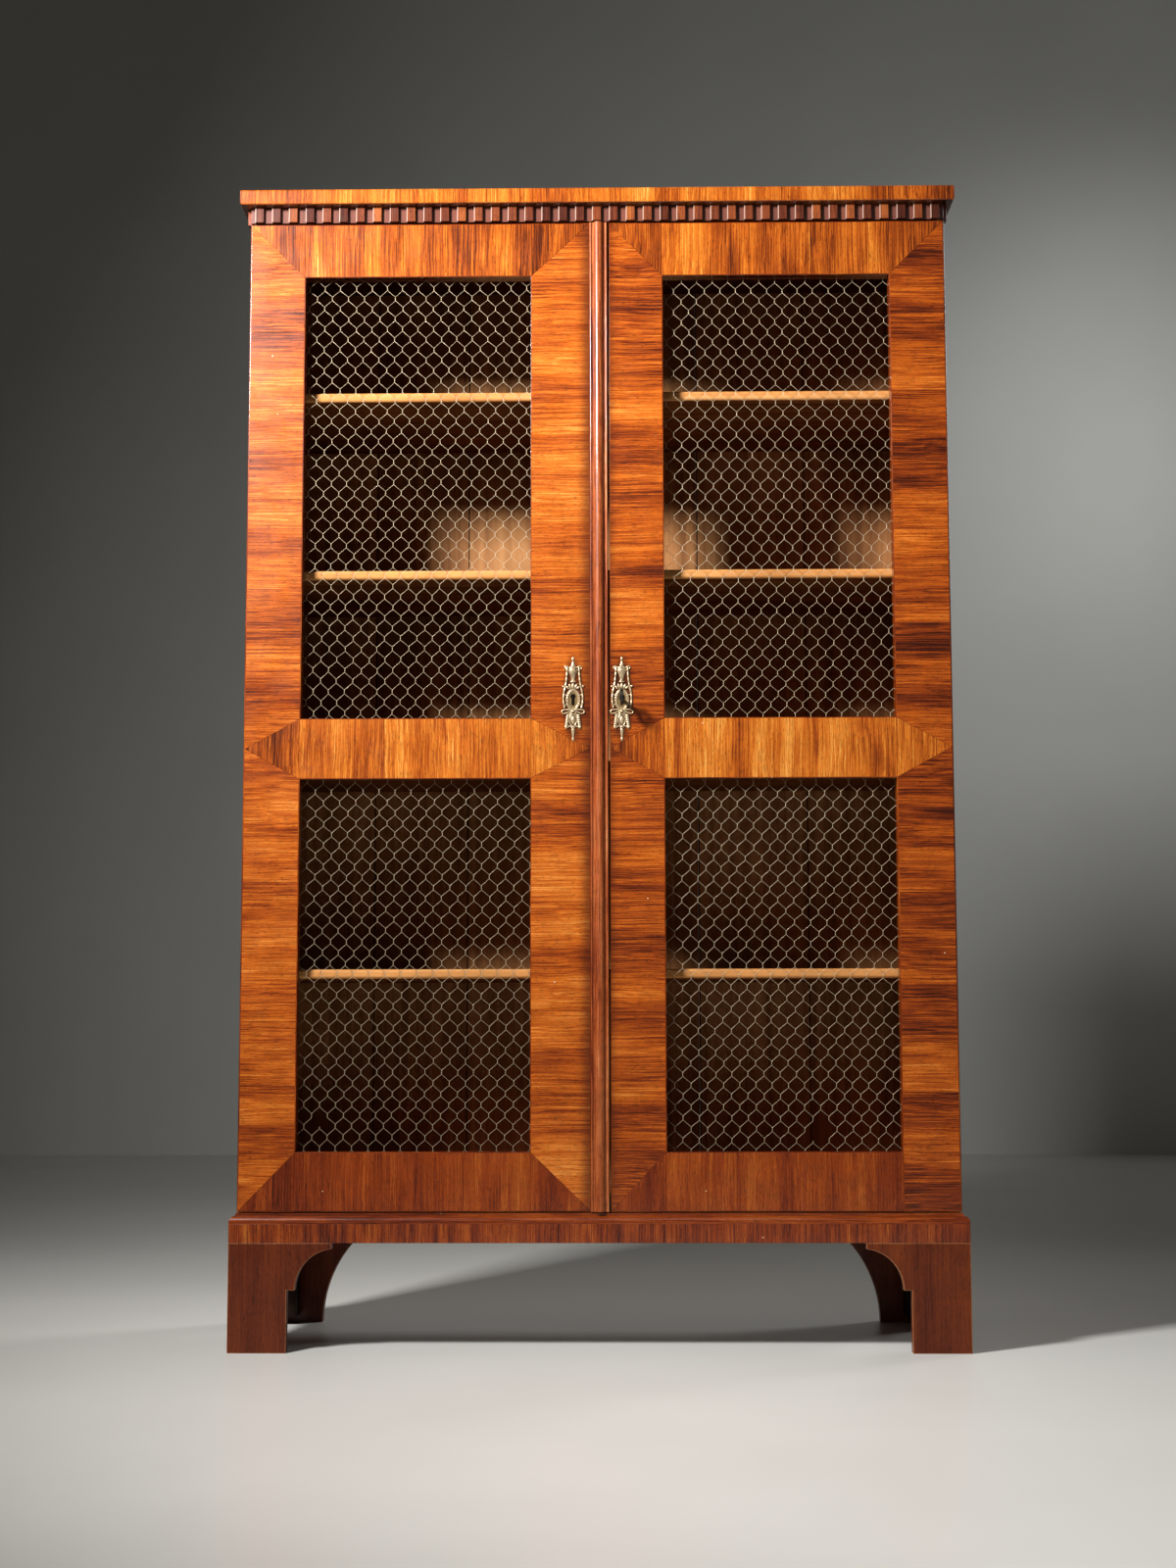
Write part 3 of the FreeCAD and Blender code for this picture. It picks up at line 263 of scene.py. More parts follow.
def oiled_pine(name, tones, grain, nosing=None, outside=None, joints=(), band=18):
    """Sawn pine, stained and dull. The eye gets wide soft stripes and a dry surface."""
    finish, tree = new_finish(name)
    place = add(tree, "TexCoord").outputs
    drawn = reckon(tree, "MULTIPLY", place["Object"], lie(grain, 0.05), kind="VectorMath")
    rings = add(tree, "TexNoise", {"Vector": drawn, "Scale": 1000 / band, "Detail": 4.0,
                                   "Roughness": 0.6, "Distortion": 0.8}).outputs["Fac"]
    facing = add(tree, "SeparateXYZ", {0: place["Normal"]}).outputs
    split = add(tree, "SeparateXYZ", {0: place["Object"]}).outputs
    figure = rings
    crack = 0.0
    for count, joint in enumerate(joints):
        # Each board is a little lighter or darker than the last, and dirt has settled in the joint.
        board = reckon(tree, "GREATER_THAN", split["X"], joint)
        figure = reckon(tree, "MULTIPLY_ADD", board, 0.14 if count % 2 else -0.12, figure)
        gap = reckon(tree, "COMPARE", split["X"], joint, BOARD_GAP)
        crack = reckon(tree, "MAXIMUM", gap, crack)
    base = tone_ramp(tree, figure, tones)
    if nosing:
        # The front edge is bare wood; behind its rounding the shelf is painted dark as shade.
        front = reckon(tree, "LESS_THAN", split["Y"], NOSING_Y)
        base = blend(tree, front, base, tone_ramp(tree, rings, nosing))
    if outside:
        # The side to the wall never saw stain, only dust and age.
        rear = reckon(tree, "GREATER_THAN", facing["Y"], 0.5)
        aged = tone_ramp(tree, figure, outside)
        # The heads of the nails come round every pitch along the rows.
        beside = reckon(tree, "WRAP", split["X"], -NAIL_PITCH / 2, NAIL_PITCH / 2)
        above = reckon(tree, "WRAP", split["Z"], NAIL_LOW - NAIL_ROWS / 2, NAIL_LOW + NAIL_ROWS / 2)
        over = reckon(tree, "SUBTRACT", above, NAIL_LOW)
        from_nail = add(tree, "CombineXYZ", {"X": beside, "Z": over}).outputs[0]
        reach = add(tree, "VectorMath", {0: from_nail}, operation="LENGTH").outputs["Value"]
        nail = reckon(tree, "LESS_THAN", reach, NAIL_RADIUS)
        base = blend(tree, rear, base, blend(tree, nail, aged, srgb("#2e2520")))
    if joints:
        base = blend(tree, crack, base, srgb("#22160d"))
    cloud = add(tree, "TexNoise", {"Vector": place["Object"], "Scale": 1000 / 120, "Detail": 3.0})
    stain = tone_ramp(tree, cloud.outputs["Fac"], [(0.3, 0.7), (0.7, 1.0)])
    base = blend(tree, 1.0, base, stain, "MULTIPLY")
    relief = add(tree, "Bump", {"Strength": 0.25, "Distance": 0.0008, "Height": rings})
    shader = add(tree, "BsdfPrincipled", {"Base Color": base, "Roughness": 0.7,
                                          "Normal": relief.outputs[0], "Specular IOR Level": 0.15})
    add(tree, "OutputMaterial", {0: shader.outputs[0]})
    return finish


def aged_metal(name, bright, dark, rough, cloud_mm, metallic=1.0):
    """Metal with its own tarnish. The eye gets bright rubbed parts and dull brown hollows."""
    finish, tree = new_finish(name)
    place = add(tree, "TexCoord").outputs
    cloud = add(tree, "TexNoise", {"Vector": place["Object"], "Scale": 1000 / cloud_mm, "Detail": 4.0,
                                   "Roughness": 0.65}).outputs["Fac"]
    raised = add(tree, "NewGeometry").outputs["Pointiness"]
    worn = reckon(tree, "ADD", cloud, remap(tree, raised, 0.46, 0.54, -0.3, 0.35))
    colour = tone_ramp(tree, worn, [(0.32, dark), (0.64, bright)])
    dull = remap(tree, worn, 0.25, 0.7, rough[1], rough[0])
    relief = add(tree, "Bump", {"Strength": 0.3, "Distance": 0.0003, "Height": cloud})
    shader = add(tree, "BsdfPrincipled", {"Base Color": colour, "Metallic": metallic,
                                          "Roughness": dull, "Normal": relief.outputs[0]})
    add(tree, "OutputMaterial", {0: shader.outputs[0]})
    return finish


CROSSBAND = [(0.0, "#3c1204"), (0.25, "#7c2f08"), (0.5, "#a94d0f"), (0.75, "#c4661c"), (1.0, "#da873a")]
GOLDEN = [(0.0, "#4a1a04"), (0.25, "#893a0a"), (0.5, "#b25814"), (0.75, "#cc7624"), (1.0, "#e49f4c")]
RED_BROWN = [(0.0, "#300c02"), (0.25, "#5e1e04"), (0.5, "#803108"), (0.75, "#99450f"), (1.0, "#b06020")]
FOOT_BROWN = [(0.0, "#300c02"), (0.25, "#4d1903"), (0.5, "#632506"), (0.75, "#75320a"), (1.0, "#864112")]
DARK_BROWN = [(0.0, "#451507"), (0.25, "#742c0f"), (0.5, "#97481f"), (0.75, "#ab5c30"), (1.0, "#c07a4a")]
DENTIL_BROWN = [(0.0, "#30150f"), (0.25, "#502316"), (0.5, "#70351f"), (0.75, "#904a24"), (1.0, "#ac632e")]
WORN_HIGHLIT_BROWN = [(0.0, "#7d3f1c"), (0.5, "#a86636"), (1.0, "#c98f5c")]
BOARD_PINE = [(0.3, "#8c5c36"), (0.5, "#ab7546"), (0.7, "#c48c58")]
SHADE_BLACK_PINE = [(0.3, "#1a0d06"), (0.5, "#24130a"), (0.7, "#2e1a0e")]
SHADED_SHELF_PINE = [(0.3, "#532a10"), (0.5, "#70401c"), (0.7, "#875428")]
BARE_NOSING = [(0.3, "#bd7a3e"), (0.5, "#cf8d4e"), (0.7, "#dca163")]
OLD_PINE = [(0.3, "#85583a"), (0.5, "#a6754c"), (0.7, "#bd9066")]

stile_veneer = polished_mahogany("mahogany_crossband_polished", CROSSBAND, "X", dirt_and_shade=True)
rail_veneer = polished_mahogany("mahogany_rail_veneer_polished", GOLDEN, "Z", band=45, dirt_and_shade=True)
low_rail_veneer = polished_mahogany("mahogany_low_rail_veneer", RED_BROWN, "Z", band=45, dirt_and_shade=True,
                                    contrast=0.75)
upright_mahogany = polished_mahogany("mahogany_upright_polished", RED_BROWN, "Z")
level_mahogany = polished_mahogany("mahogany_level_polished", RED_BROWN, "X")
deep_mahogany = polished_mahogany("mahogany_deep_polished", RED_BROWN, "Y")
banded_mahogany = polished_mahogany("mahogany_plinth_crossband", RED_BROWN, "Z", band=24)
cornice_mahogany = polished_mahogany("mahogany_cornice_crossband", GOLDEN, "Z", band=40, top_grain="X",
                                     ends=SLAB_TURN)
front_dentil_mahogany = polished_mahogany("mahogany_front_dentils", DENTIL_BROWN, "Z", contrast=0.7,
                                          teeth="X", hollow=DENTIL_DEPTHS)
side_dentil_mahogany = polished_mahogany("mahogany_side_dentils", RED_BROWN, "Z", contrast=0.7, teeth="Y")
foot_mahogany = polished_mahogany("mahogany_feet_polished", FOOT_BROWN, "Z", streak=9,
                                  polish=0.15, rough=(0.4, 0.55), contrast=0.6)
# The feet's arrises are painted pale: real wear, and a painted highlight.
worn_highlit_mahogany = polished_mahogany("mahogany_rubbed_arris_painted_highlight", WORN_HIGHLIT_BROWN, "Z", polish=0.3)
astragal_mahogany = polished_mahogany("mahogany_astragal_polished", DARK_BROWN, "Z",
                                      polish=0.35, rough=(0.3, 0.45))
# The shelves are painted dark as shade, all but their bare nosings.
shaded_shelf_pine = oiled_pine("pine_shelf_painted_shade", SHADED_SHELF_PINE, "X", nosing=BARE_NOSING)
back_pine = oiled_pine("pine_back_boards", BOARD_PINE, "Z", outside=OLD_PINE, joints=BOARD_JOINTS, band=22)
# The bearers and glue blocks are painted near black as shade.
shade_dark_pine = oiled_pine("pine_bearers_painted_shade", SHADE_BLACK_PINE, "Y")
cast_brass = aged_metal("brass_cast_tarnished", "#cfb48c", "#2a180a", (0.26, 0.5), 4, metallic=0.55)
# The sunk field is darker brass: tarnish, and painted shade in its recess.
shaded_sunk_brass = aged_metal("brass_sunk_tarnish_and_painted_shade", "#8f7248", "#24140a", (0.35, 0.55), 4, metallic=0.5)
drawn_brass = aged_metal("brass_wire_dulled", "#c2b091", "#978768", (0.42, 0.6), 30, metallic=0.4)
plate_brass = aged_metal("brass_plate_rubbed", "#b8924f", "#6a4d22", (0.3, 0.5), 12)
forged_iron = aged_metal("iron_forged_dark", "#463f39", "#1c1714", (0.42, 0.62), 8)
keyhole_shade_black = aged_metal("keyhole_painted_shade_black", "#1b1613", "#080605", (0.6, 0.75), 8)


def show(piece, finish, body):
    """Gives a new piece its finish and lets it ride on a body."""
    piece.data.materials.append(finish)
    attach(piece, body)


def mesh_piece(name, shape):
    """An object in the scene from a filled bmesh."""
    mesh = bpy.data.meshes.new(name)
    shape.to_mesh(mesh)
    shape.free()
    piece = bpy.data.objects.new(name, mesh)
    bpy.context.scene.collection.objects.link(piece)
    return piece


def skin_rings(shape, rings, closed=False):
    """Joins rings of points with faces; a run that isn't closed gets a face at both ends."""
    pairs = list(zip(rings, rings[1:]))
    if closed:
        pairs.append((rings[-1], rings[0]))
    for low, high in pairs:
        for step in range(len(low)):
            after = (step + 1) % len(low)
            shape.faces.new((low[step], low[after], high[after], high[step]))
    if not closed:
        shape.faces.new(rings[0])
        shape.faces.new(rings[-1])


# Finishes of the solids

def finish_node(name, finish):
    """Puts one finish in every slot of a solid."""
    mesh = nodes[name].data
    if not mesh.materials:
        mesh.materials.append(finish)
    for slot in range(len(mesh.materials)):
        mesh.materials[slot] = finish


def ease_arrises(name, width, worn=None):
    """Takes the sharpness off a solid's arrises; a worn finish, where given, paints them pale as wear and as
    a highlight.
    """
    node = nodes[name]
    weld = node.modifiers.new("weld", "WELD")
    weld.merge_threshold = 0.00001
    flat = node.modifiers.new("flat", "DECIMATE")
    flat.decimate_type = "DISSOLVE"
    flat.angle_limit = math.radians(1)
    arris = node.modifiers.new("arris", "BEVEL")
    arris.width = width
    arris.segments = 2
    arris.limit_method = "ANGLE"
    arris.angle_limit = math.radians(35)
    if worn:
        node.data.materials.append(worn)
        arris.material = len(node.data.materials) - 1
    node.modifiers.new("shade", "WEIGHTED_NORMAL")


def both_sides(names):
    """Names of solids, with left and right in place of a star."""
    return dict.fromkeys(name.replace("*", side) for name in names for side in ("left", "right"))


STILES = ("*_outer_stile", "*_meeting_stile")
RAILS = ("*_top_rail", "*_middle_rail", "*_bottom_rail", "*_net_beads")
FEET = ("foot_front_*", "foot_front_*_side", "foot_rear_*", "foot_rear_*_side")
PLINTH = ("plinth_front", "plinth_back", "plinth_*")
IRONWORK = ("key", "lock_case", "lock_bolt", "slide_bolt_guides", "top_bolt", "bottom_bolt")

SOLID_FINISHES = (
    (upright_mahogany, STILES + ("side_*", "frieze_rail")),
    (level_mahogany, RAILS + ("case_top", "case_bottom", "base_moulding_front")),
    (deep_mahogany, ("base_moulding_*",)),
    (banded_mahogany, PLINTH),
    (front_dentil_mahogany, ("dentils_front",)),
    (side_dentil_mahogany, ("dentils_*",)),
    (foot_mahogany, FEET),
    (cornice_mahogany, ("cornice_slab",)),
    (astragal_mahogany, ("astragal",)),
    (shaded_shelf_pine, ("shelf_low", "shelf_rail", "shelf_high", "shelf_upper")),
    (back_pine, ("back_boards",)),
    (shade_dark_pine, ("shelf_bearers", "foot_glue_blocks")),
    (plate_brass, ("*_pivots", "pivot_sockets", "strike_plate")),
    (forged_iron, IRONWORK),
)
for finish, names in SOLID_FINISHES:
    for name in both_sides(names):
        finish_node(name, finish)

MOULDINGS = ("base_moulding_front", "base_moulding_*", "dentils_front", "dentils_*")
for name in both_sides(STILES + RAILS + PLINTH + MOULDINGS):
    ease_arrises(name, JOINERY_ARRIS)
for name in both_sides(("side_*",)):
    ease_arrises(name, SIDE_ARRIS)
for name in both_sides(FEET):
    ease_arrises(name, FOOT_ARRIS, worn_highlit_mahogany)
for name in IRONWORK + ("strike_plate",):
    ease_arrises(name, IRON_ARRIS)


# Veneer leaves on the doors

def cut_leaf(corners, axis, level):
    """The two parts of a flat outline below and above a level on one axis."""
    below, above = [], []
    for here, after in zip(corners, corners[1:] + corners[:1]):
        if here[axis] <= level:
            below.append(here)
        if here[axis] >= level:
            above.append(here)
        if (here[axis] - level) * (after[axis] - level) < 0:
            share = (level - here[axis]) / (after[axis] - here[axis])
            crossing = tuple(h + (a - h) * share for h, a in zip(here, after))
            below.append(crossing)
            above.append(crossing)
    return below, above


def slice_leaves(corners, axis, draw, shortest, longest):
    """Cuts an outline into leaves of uneven width across one axis."""
    leaves = []
    rest = corners
    level = min(c[axis] for c in corners) + draw.uniform(shortest, longest)
    # What is left at the end is never a mere strip.
    while level < max(c[axis] for c in corners) - shortest * 0.6:
        leaf, rest = cut_leaf(rest, axis, level)
        leaves.append(leaf)
        level += draw.uniform(shortest, longest)
    return leaves + [rest]


def drawn_in(corners, distance):
    """A convex outline with its edges moved in."""
    moved = []
    count = len(corners)
    centre = sum((Vector(c) for c in corners), Vector((0, 0))) / count
    lines = []
    for here, after in zip(corners, corners[1:] + corners[:1]):
        along = (Vector(after) - Vector(here)).normalized()
        inward = Vector((-along.y, along.x))
        if inward.dot(centre - Vector(here)) < 0:
            inward = -inward
        lines.append((Vector(here) + inward * distance, along))
    for index in range(count):
        start, along = lines[index - 1]
        other, across = lines[index]
        turn = along.x * across.y - along.y * across.x
        gap = other - start
        reach = (gap.x * across.y - gap.y * across.x) / turn
        moved.append(tuple(start + along * reach))
    return moved


def lay_leaves(name, body, finish, leaves, draw, tone, spread):
    """Thin leaves laid side by side on a door face, each with its own tone and place in the figure."""
    shape = bmesh.new()
    tones = shape.verts.layers.float.new("leaf_tone")
    shifts = shape.verts.layers.float_vector.new("leaf_shift")
    for corners, own_tone in leaves:
        leaf_tone = tone + own_tone + draw.uniform(-spread, spread)
        leaf_shift = Vector([draw.uniform(-LEAF_SHIFT, LEAF_SHIFT) for axis in "xyz"])
        corners = drawn_in(corners, LEAF_JOINT)
        eased = drawn_in(corners, LEAF_EASE)
        rings = []
        for outline, depth in ((corners, 0), (corners, LEAF_THICK - LEAF_EASE), (eased, LEAF_THICK)):
            ring = [shape.verts.new((x, DOOR_FACE - depth, z)) for x, z in outline]
            for vert in ring:
                vert[tones] = leaf_tone
                vert[shifts] = leaf_shift
            rings.append(ring)
        skin_rings(shape, rings)
    bmesh.ops.recalc_face_normals(shape, faces=shape.faces)
    show(mesh_piece(name, shape), finish, body)


# Narrowest and widest leaves, and how far the tones of one stile's or rail's leaves lie apart.
STILE_LEAVES = (0.09, 0.24)
RAIL_LEAVES = (0.07, 0.16)
STILE_SPREAD = 0.035
RAIL_SPREAD = 0.04
# The right door's leaves came from darker wood.
STILE_TONES = {"left outer": 0.02, "left meeting": 0.04, "right meeting": -0.1, "right outer": -0.15}
# Short dark leaves close the stiles under the points of the middle rails: height and tone.
POINT_LEAVES = {"left meeting": (0.021, -0.36), "right meeting": (0.014, -0.3), "right outer": (0.048, -0.2)}
# The leaves at the ends of the rails are darker than the field between them.
TIP_TONES = {"left top inner": -0.28, "left middle outer": -0.25, "left middle inner": -0.12,
             "right top inner": -0.14, "right top outer": -0.2,
             "right middle inner": -0.32, "right middle outer": -0.12}
TIP_TONE = -0.08
RAIL_TONES = {"bottom": 0.03, "middle": 0.07, "top": -0.08}
# So are the top leaves of the meeting stiles and the first leaf of the left middle rail.
MEETING_TOP_TONE = -0.1
FIRST_FIELD_TONE = -0.15


def veneer_door(side, sign, inner):
    """Crossbanded stiles and rails, mitred at the corners, with the middle rail pointed at both ends."""
    body = f"{side}_door"
    draw = random.Random(f"veneer {side}")
    outer = sign * (OUTER_X - ARRIS_MARGIN)
    out = sign * (OPENING_OUT + DOOR_MARGIN)
    within = sign * (OPENING_IN - DOOR_MARGIN)
    low, high = DOOR_LOW + DOOR_MARGIN, DOOR_HIGH - DOOR_MARGIN
    sill, head = LOW_SILL - DOOR_MARGIN, LOW_HEAD + DOOR_MARGIN
    upper_sill, upper_head = HIGH_SILL - DOOR_MARGIN, HIGH_HEAD + DOOR_MARGIN
    for stile, edge, jamb in (("outer", outer, out), ("meeting", inner, within)):
        foot = [(jamb, sill), (edge, low)]
        if side == "right" and stile == "outer":
            foot = [(jamb, low), (edge, low)]
        lower = [(edge, ARROW_Z), (jamb, head)] + foot
        upper = [(edge, high), (jamb, upper_head), (jamb, upper_sill), (edge, ARROW_Z)]
        upper_leaves = [(cut, 0.0) for cut in slice_leaves(upper, 1, draw, *STILE_LEAVES)]
        if stile == "meeting":
            upper_leaves[-1] = (upper_leaves[-1][0], MEETING_TOP_TONE)
        leaves = []
        if f"{side} {stile}" in POINT_LEAVES:
            height, own_tone = POINT_LEAVES[f"{side} {stile}"]
            lower, point = cut_leaf(lower, 1, ARROW_Z - height)
            leaves.append((point, own_tone))
        leaves += upper_leaves
        leaves += [(cut, 0.0) for cut in slice_leaves(lower, 1, draw, *STILE_LEAVES)]
        tone = STILE_TONES[f"{side} {stile}"]
        lay_leaves(f"{side}_{stile}_stile_veneer", body, stile_veneer, leaves, draw, tone, STILE_SPREAD)
    rails = {
        "bottom": (low, sill, low),
        "middle": (head, upper_sill, ARROW_Z),
        "top": (upper_head, high, high),
    }
    for rail, (foot, top, tip) in rails.items():
        field = [(out, foot), (within, foot), (within, top), (out, top)]
        leaves = [(cut, 0.0) for cut in slice_leaves(field, 0, draw, *RAIL_LEAVES)]
        if side == "left" and rail == "middle":
            leaves[0] = (leaves[0][0], FIRST_FIELD_TONE)
        for end, edge, jamb in (("outer", outer, out), ("inner", inner, within)):
            if f"{side} {rail} {end}" == "right bottom outer":
                continue
            own_tone = TIP_TONES.get(f"{side} {rail} {end}", TIP_TONE)
            leaves.append(([(edge, tip), (jamb, top), (jamb, foot)], own_tone))
        finish = low_rail_veneer if rail == "bottom" else rail_veneer
        lay_leaves(f"{side}_{rail}_rail_veneer", body, finish, leaves, draw, RAIL_TONES[rail], RAIL_SPREAD)


veneer_door("left", -1, LEFT_INNER)
veneer_door("right", 1, RIGHT_INNER)


# Wire net

NET_PITCH = 0.02527
NET_ROW = 0.017
NET_TWIST = 0.0068
NET_WIRE = 0.00031
NET_LAP = 0.0085
NET_Y = -0.1454
TWIST_STEPS = 4
# The wires wander slowly and stray a little on top of it: how far, and in how many waves to the metre.
NET_SWAY = 0.0022
SWAY_WAVES = 14
NET_STRAY = 0.0004
STRAY_WAVES = 55
# The vector noise that moves the wires follows the clock unless it is seeded.
NET_SEED = 5
noise.seed_set(NET_SEED)
# Where wires are broken away: x, z and reach.
NET_TEARS = {"right lower": (0.338, 0.337, 0.0145), "left lower": (-0.442, 0.350, 0.007)}


def net_wires(left, right, low, high, draw):
    """The runs of twisted netting: two wires to a column, winding round their neighbours in turn."""
    columns = int((right - left) / NET_PITCH) + 3
    rows = int((high - low) / NET_ROW) + 2
    start = left - NET_PITCH * draw.uniform(0.6, 1.1)
    first = low - NET_ROW * draw.uniform(0.2, 0.8)
    seed = draw.uniform(0, 50)
    wires = []
    for column in range(columns):
        for hand in (1, -1):
            run = []
            for row in range(rows + 1):
                turned = row % 2
                centre = start + NET_PITCH * (column + 0.5 * turned * hand)
                level = first + row * NET_ROW
                side = -hand if turned else hand
                for step in range(TWIST_STEPS + 1):
                    share = step / TWIST_STEPS
                    angle = share * 2 * math.pi
                    x = centre + side * NET_WIRE * math.cos(angle)
                    z = level + (share - 0.5) * NET_TWIST
                    sway = noise.noise_vector(Vector((x * SWAY_WAVES, seed, z * SWAY_WAVES)))
                    stray = noise.noise_vector(Vector((x * STRAY_WAVES, seed + 9, z * STRAY_WAVES)))
                    x += sway.x * NET_SWAY + stray.x * NET_STRAY
                    z += sway.z * NET_SWAY + stray.z * NET_STRAY
                    y = NET_Y + side * NET_WIRE * math.sin(angle) + stray.y * NET_STRAY
                    run.append((min(max(x, left), right), y, min(max(z, low), high)))
            wires.append(run)
    return wires


def unbroken(run, tear):
    """The parts of a run of wire outside a tear."""
    if not tear:
        return [run]
    parts = [[]]
    for point in run:
        if math.hypot(point[0] - tear[0], point[2] - tear[1]) < tear[2]:
            parts.append([])
        else:
            parts[-1].append(point)
    return [part for part in parts if len(part) > 1]


def weave_net(side, opening, low, high):
    """One net as a curve object with a spline to each wire."""
    sign = -1 if side == "left" else 1
    left, right = sorted((sign * OPENING_IN, sign * OPENING_OUT))
    draw = random.Random(f"net {side} {opening}")
    curve = bpy.data.curves.new(f"{side}_{opening}_wire_net", "CURVE")
    curve.dimensions = "3D"
    curve.bevel_depth = NET_WIRE
    curve.bevel_resolution = 0
    tear = NET_TEARS.get(f"{side} {opening}")
    for run in net_wires(left - NET_LAP, right + NET_LAP, low - NET_LAP, high + NET_LAP, draw):
        for part in unbroken(run, tear):
            spline = curve.splines.new("POLY")
            spline.points.add(len(part) - 1)
            spline.points.foreach_set("co", [value for point in part for value in (*point, 1.0)])
    piece = bpy.data.objects.new(f"{side}_{opening}_wire_net", curve)
    bpy.context.scene.collection.objects.link(piece)
    show(piece, drawn_brass, f"{side}_door")
    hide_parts(f"{side}_{opening}_net")


for side in ("left", "right"):
    weave_net(side, "lower", LOW_SILL, LOW_HEAD)
    weave_net(side, "upper", HIGH_SILL, HIGH_HEAD)


# Escutcheons

# Each casting is drawn in millimetres: x from its middle, z from the keyhole, d out from the door.
URN_TURNING = ((68.7, 0), (68.2, 1.5), (66, 2.3), (63.8, 1.7), (62, 1.1), (59, 1.9), (57, 2.8),
               (54.5, 3.5), (53, 4.9), (52.3, 6.8), (51.2, 7.4), (50, 6.4), (47.5, 7.2), (44.5, 6.8),
               (41.5, 5.4), (38, 4.0), (34, 3.1), (31.5, 2.6), (30.5, 3.4), (29.3, 4.7), (28, 4.8), (27.4, 0))
DROP_TURNING = ((-41, 0), (-42, 3.2), (-44, 3.8), (-46, 2.3), (-47.5, 2.9), (-51, 2.6), (-56, 1.9),
                (-60, 1.3), (-61.5, 1.9), (-63.5, 2.0), (-65.5, 1.1), (-66.3, 0))
CAST_VOXEL = 0.00042
TURNED_SIDES = 20
STRAND_SIDES = 8
# The sunk plate: half width and half height of its oval, thickness, and the keyhole's round and slot.
FIELD_HALF = (8.6, 14.6)
FIELD_THICK = 1.1
HOLE_RADIUS = 4.3
HOLE_Z = 5.4
SLOT_HALF = 2.7
SLOT_DEEP = 14.6
FIELD_SIDES = 64
# The black oval behind the keyhole, a sheet of painted shade.
SHADE_HALF = (5.8, 11.0)
SHADE_Z = 0.3
SHADE_DEPTHS = (-0.25, -0.55)
SHADE_SIDES = 32


def turned_form(shape, turning):
    """A turned form, flattened against the door."""
    rings = []
    for z, width in turning:
        width = max(width, 0.05)
        ring = []
        for step in range(TURNED_SIDES):
            angle = step / TURNED_SIDES * 2 * math.pi
            lift = max(0.0, 0.7 + 0.5 * width * math.sin(angle))
            ring.append(shape.verts.new((width * math.cos(angle), -lift, z)))
        rings.append(ring)
    skin_rings(shape, rings)


def strand(shape, points, closed=False):
    """A round strand through points of x, z, d and radius."""
    count = len(points)
    rings = []
    for index, (x, z, d, radius) in enumerate(points):
        before = points[index - 1] if closed or index else points[0]
        after = points[(index + 1) % count] if closed or index < count - 1 else points[-1]
        along = Vector((after[0] - before[0], before[2] - after[2], after[1] - before[1])).normalized()
        out = Vector((0, -1, 0))
        across = along.cross(out).normalized()
        out = across.cross(along)
        ring = []
        for step in range(STRAND_SIDES):
            angle = step / STRAND_SIDES * 2 * math.pi
            reach = radius * (math.cos(angle) * across + math.sin(angle) * out)
            ring.append(shape.verts.new(Vector((x, -d, z)) + reach))
        rings.append(ring)
    skin_rings(shape, rings, closed)


def boss(shape, x, z, d, half_width, half_depth, half_height, tilt=0.0):
    """A domed leaf, bead or boss."""
    spot = Matrix.Translation((x, -d, z)) @ Matrix.Rotation(math.radians(tilt), 4, "Y")
    size = Matrix.Diagonal((half_width, half_depth, half_height, 1))
    bmesh.ops.create_icosphere(shape, subdivisions=2, radius=1, matrix=spot @ size)


def oval(half_width, half_height, z, d, radius, count=36, beaded=0.0):
    """Points of a closed oval strand."""
    points = []
    for step in range(count):
        angle = step / count * 2 * math.pi
        swell = radius + (beaded if step % 2 else 0)
        points.append((half_width * math.cos(angle), z + half_height * math.sin(angle), d, swell))
    return points


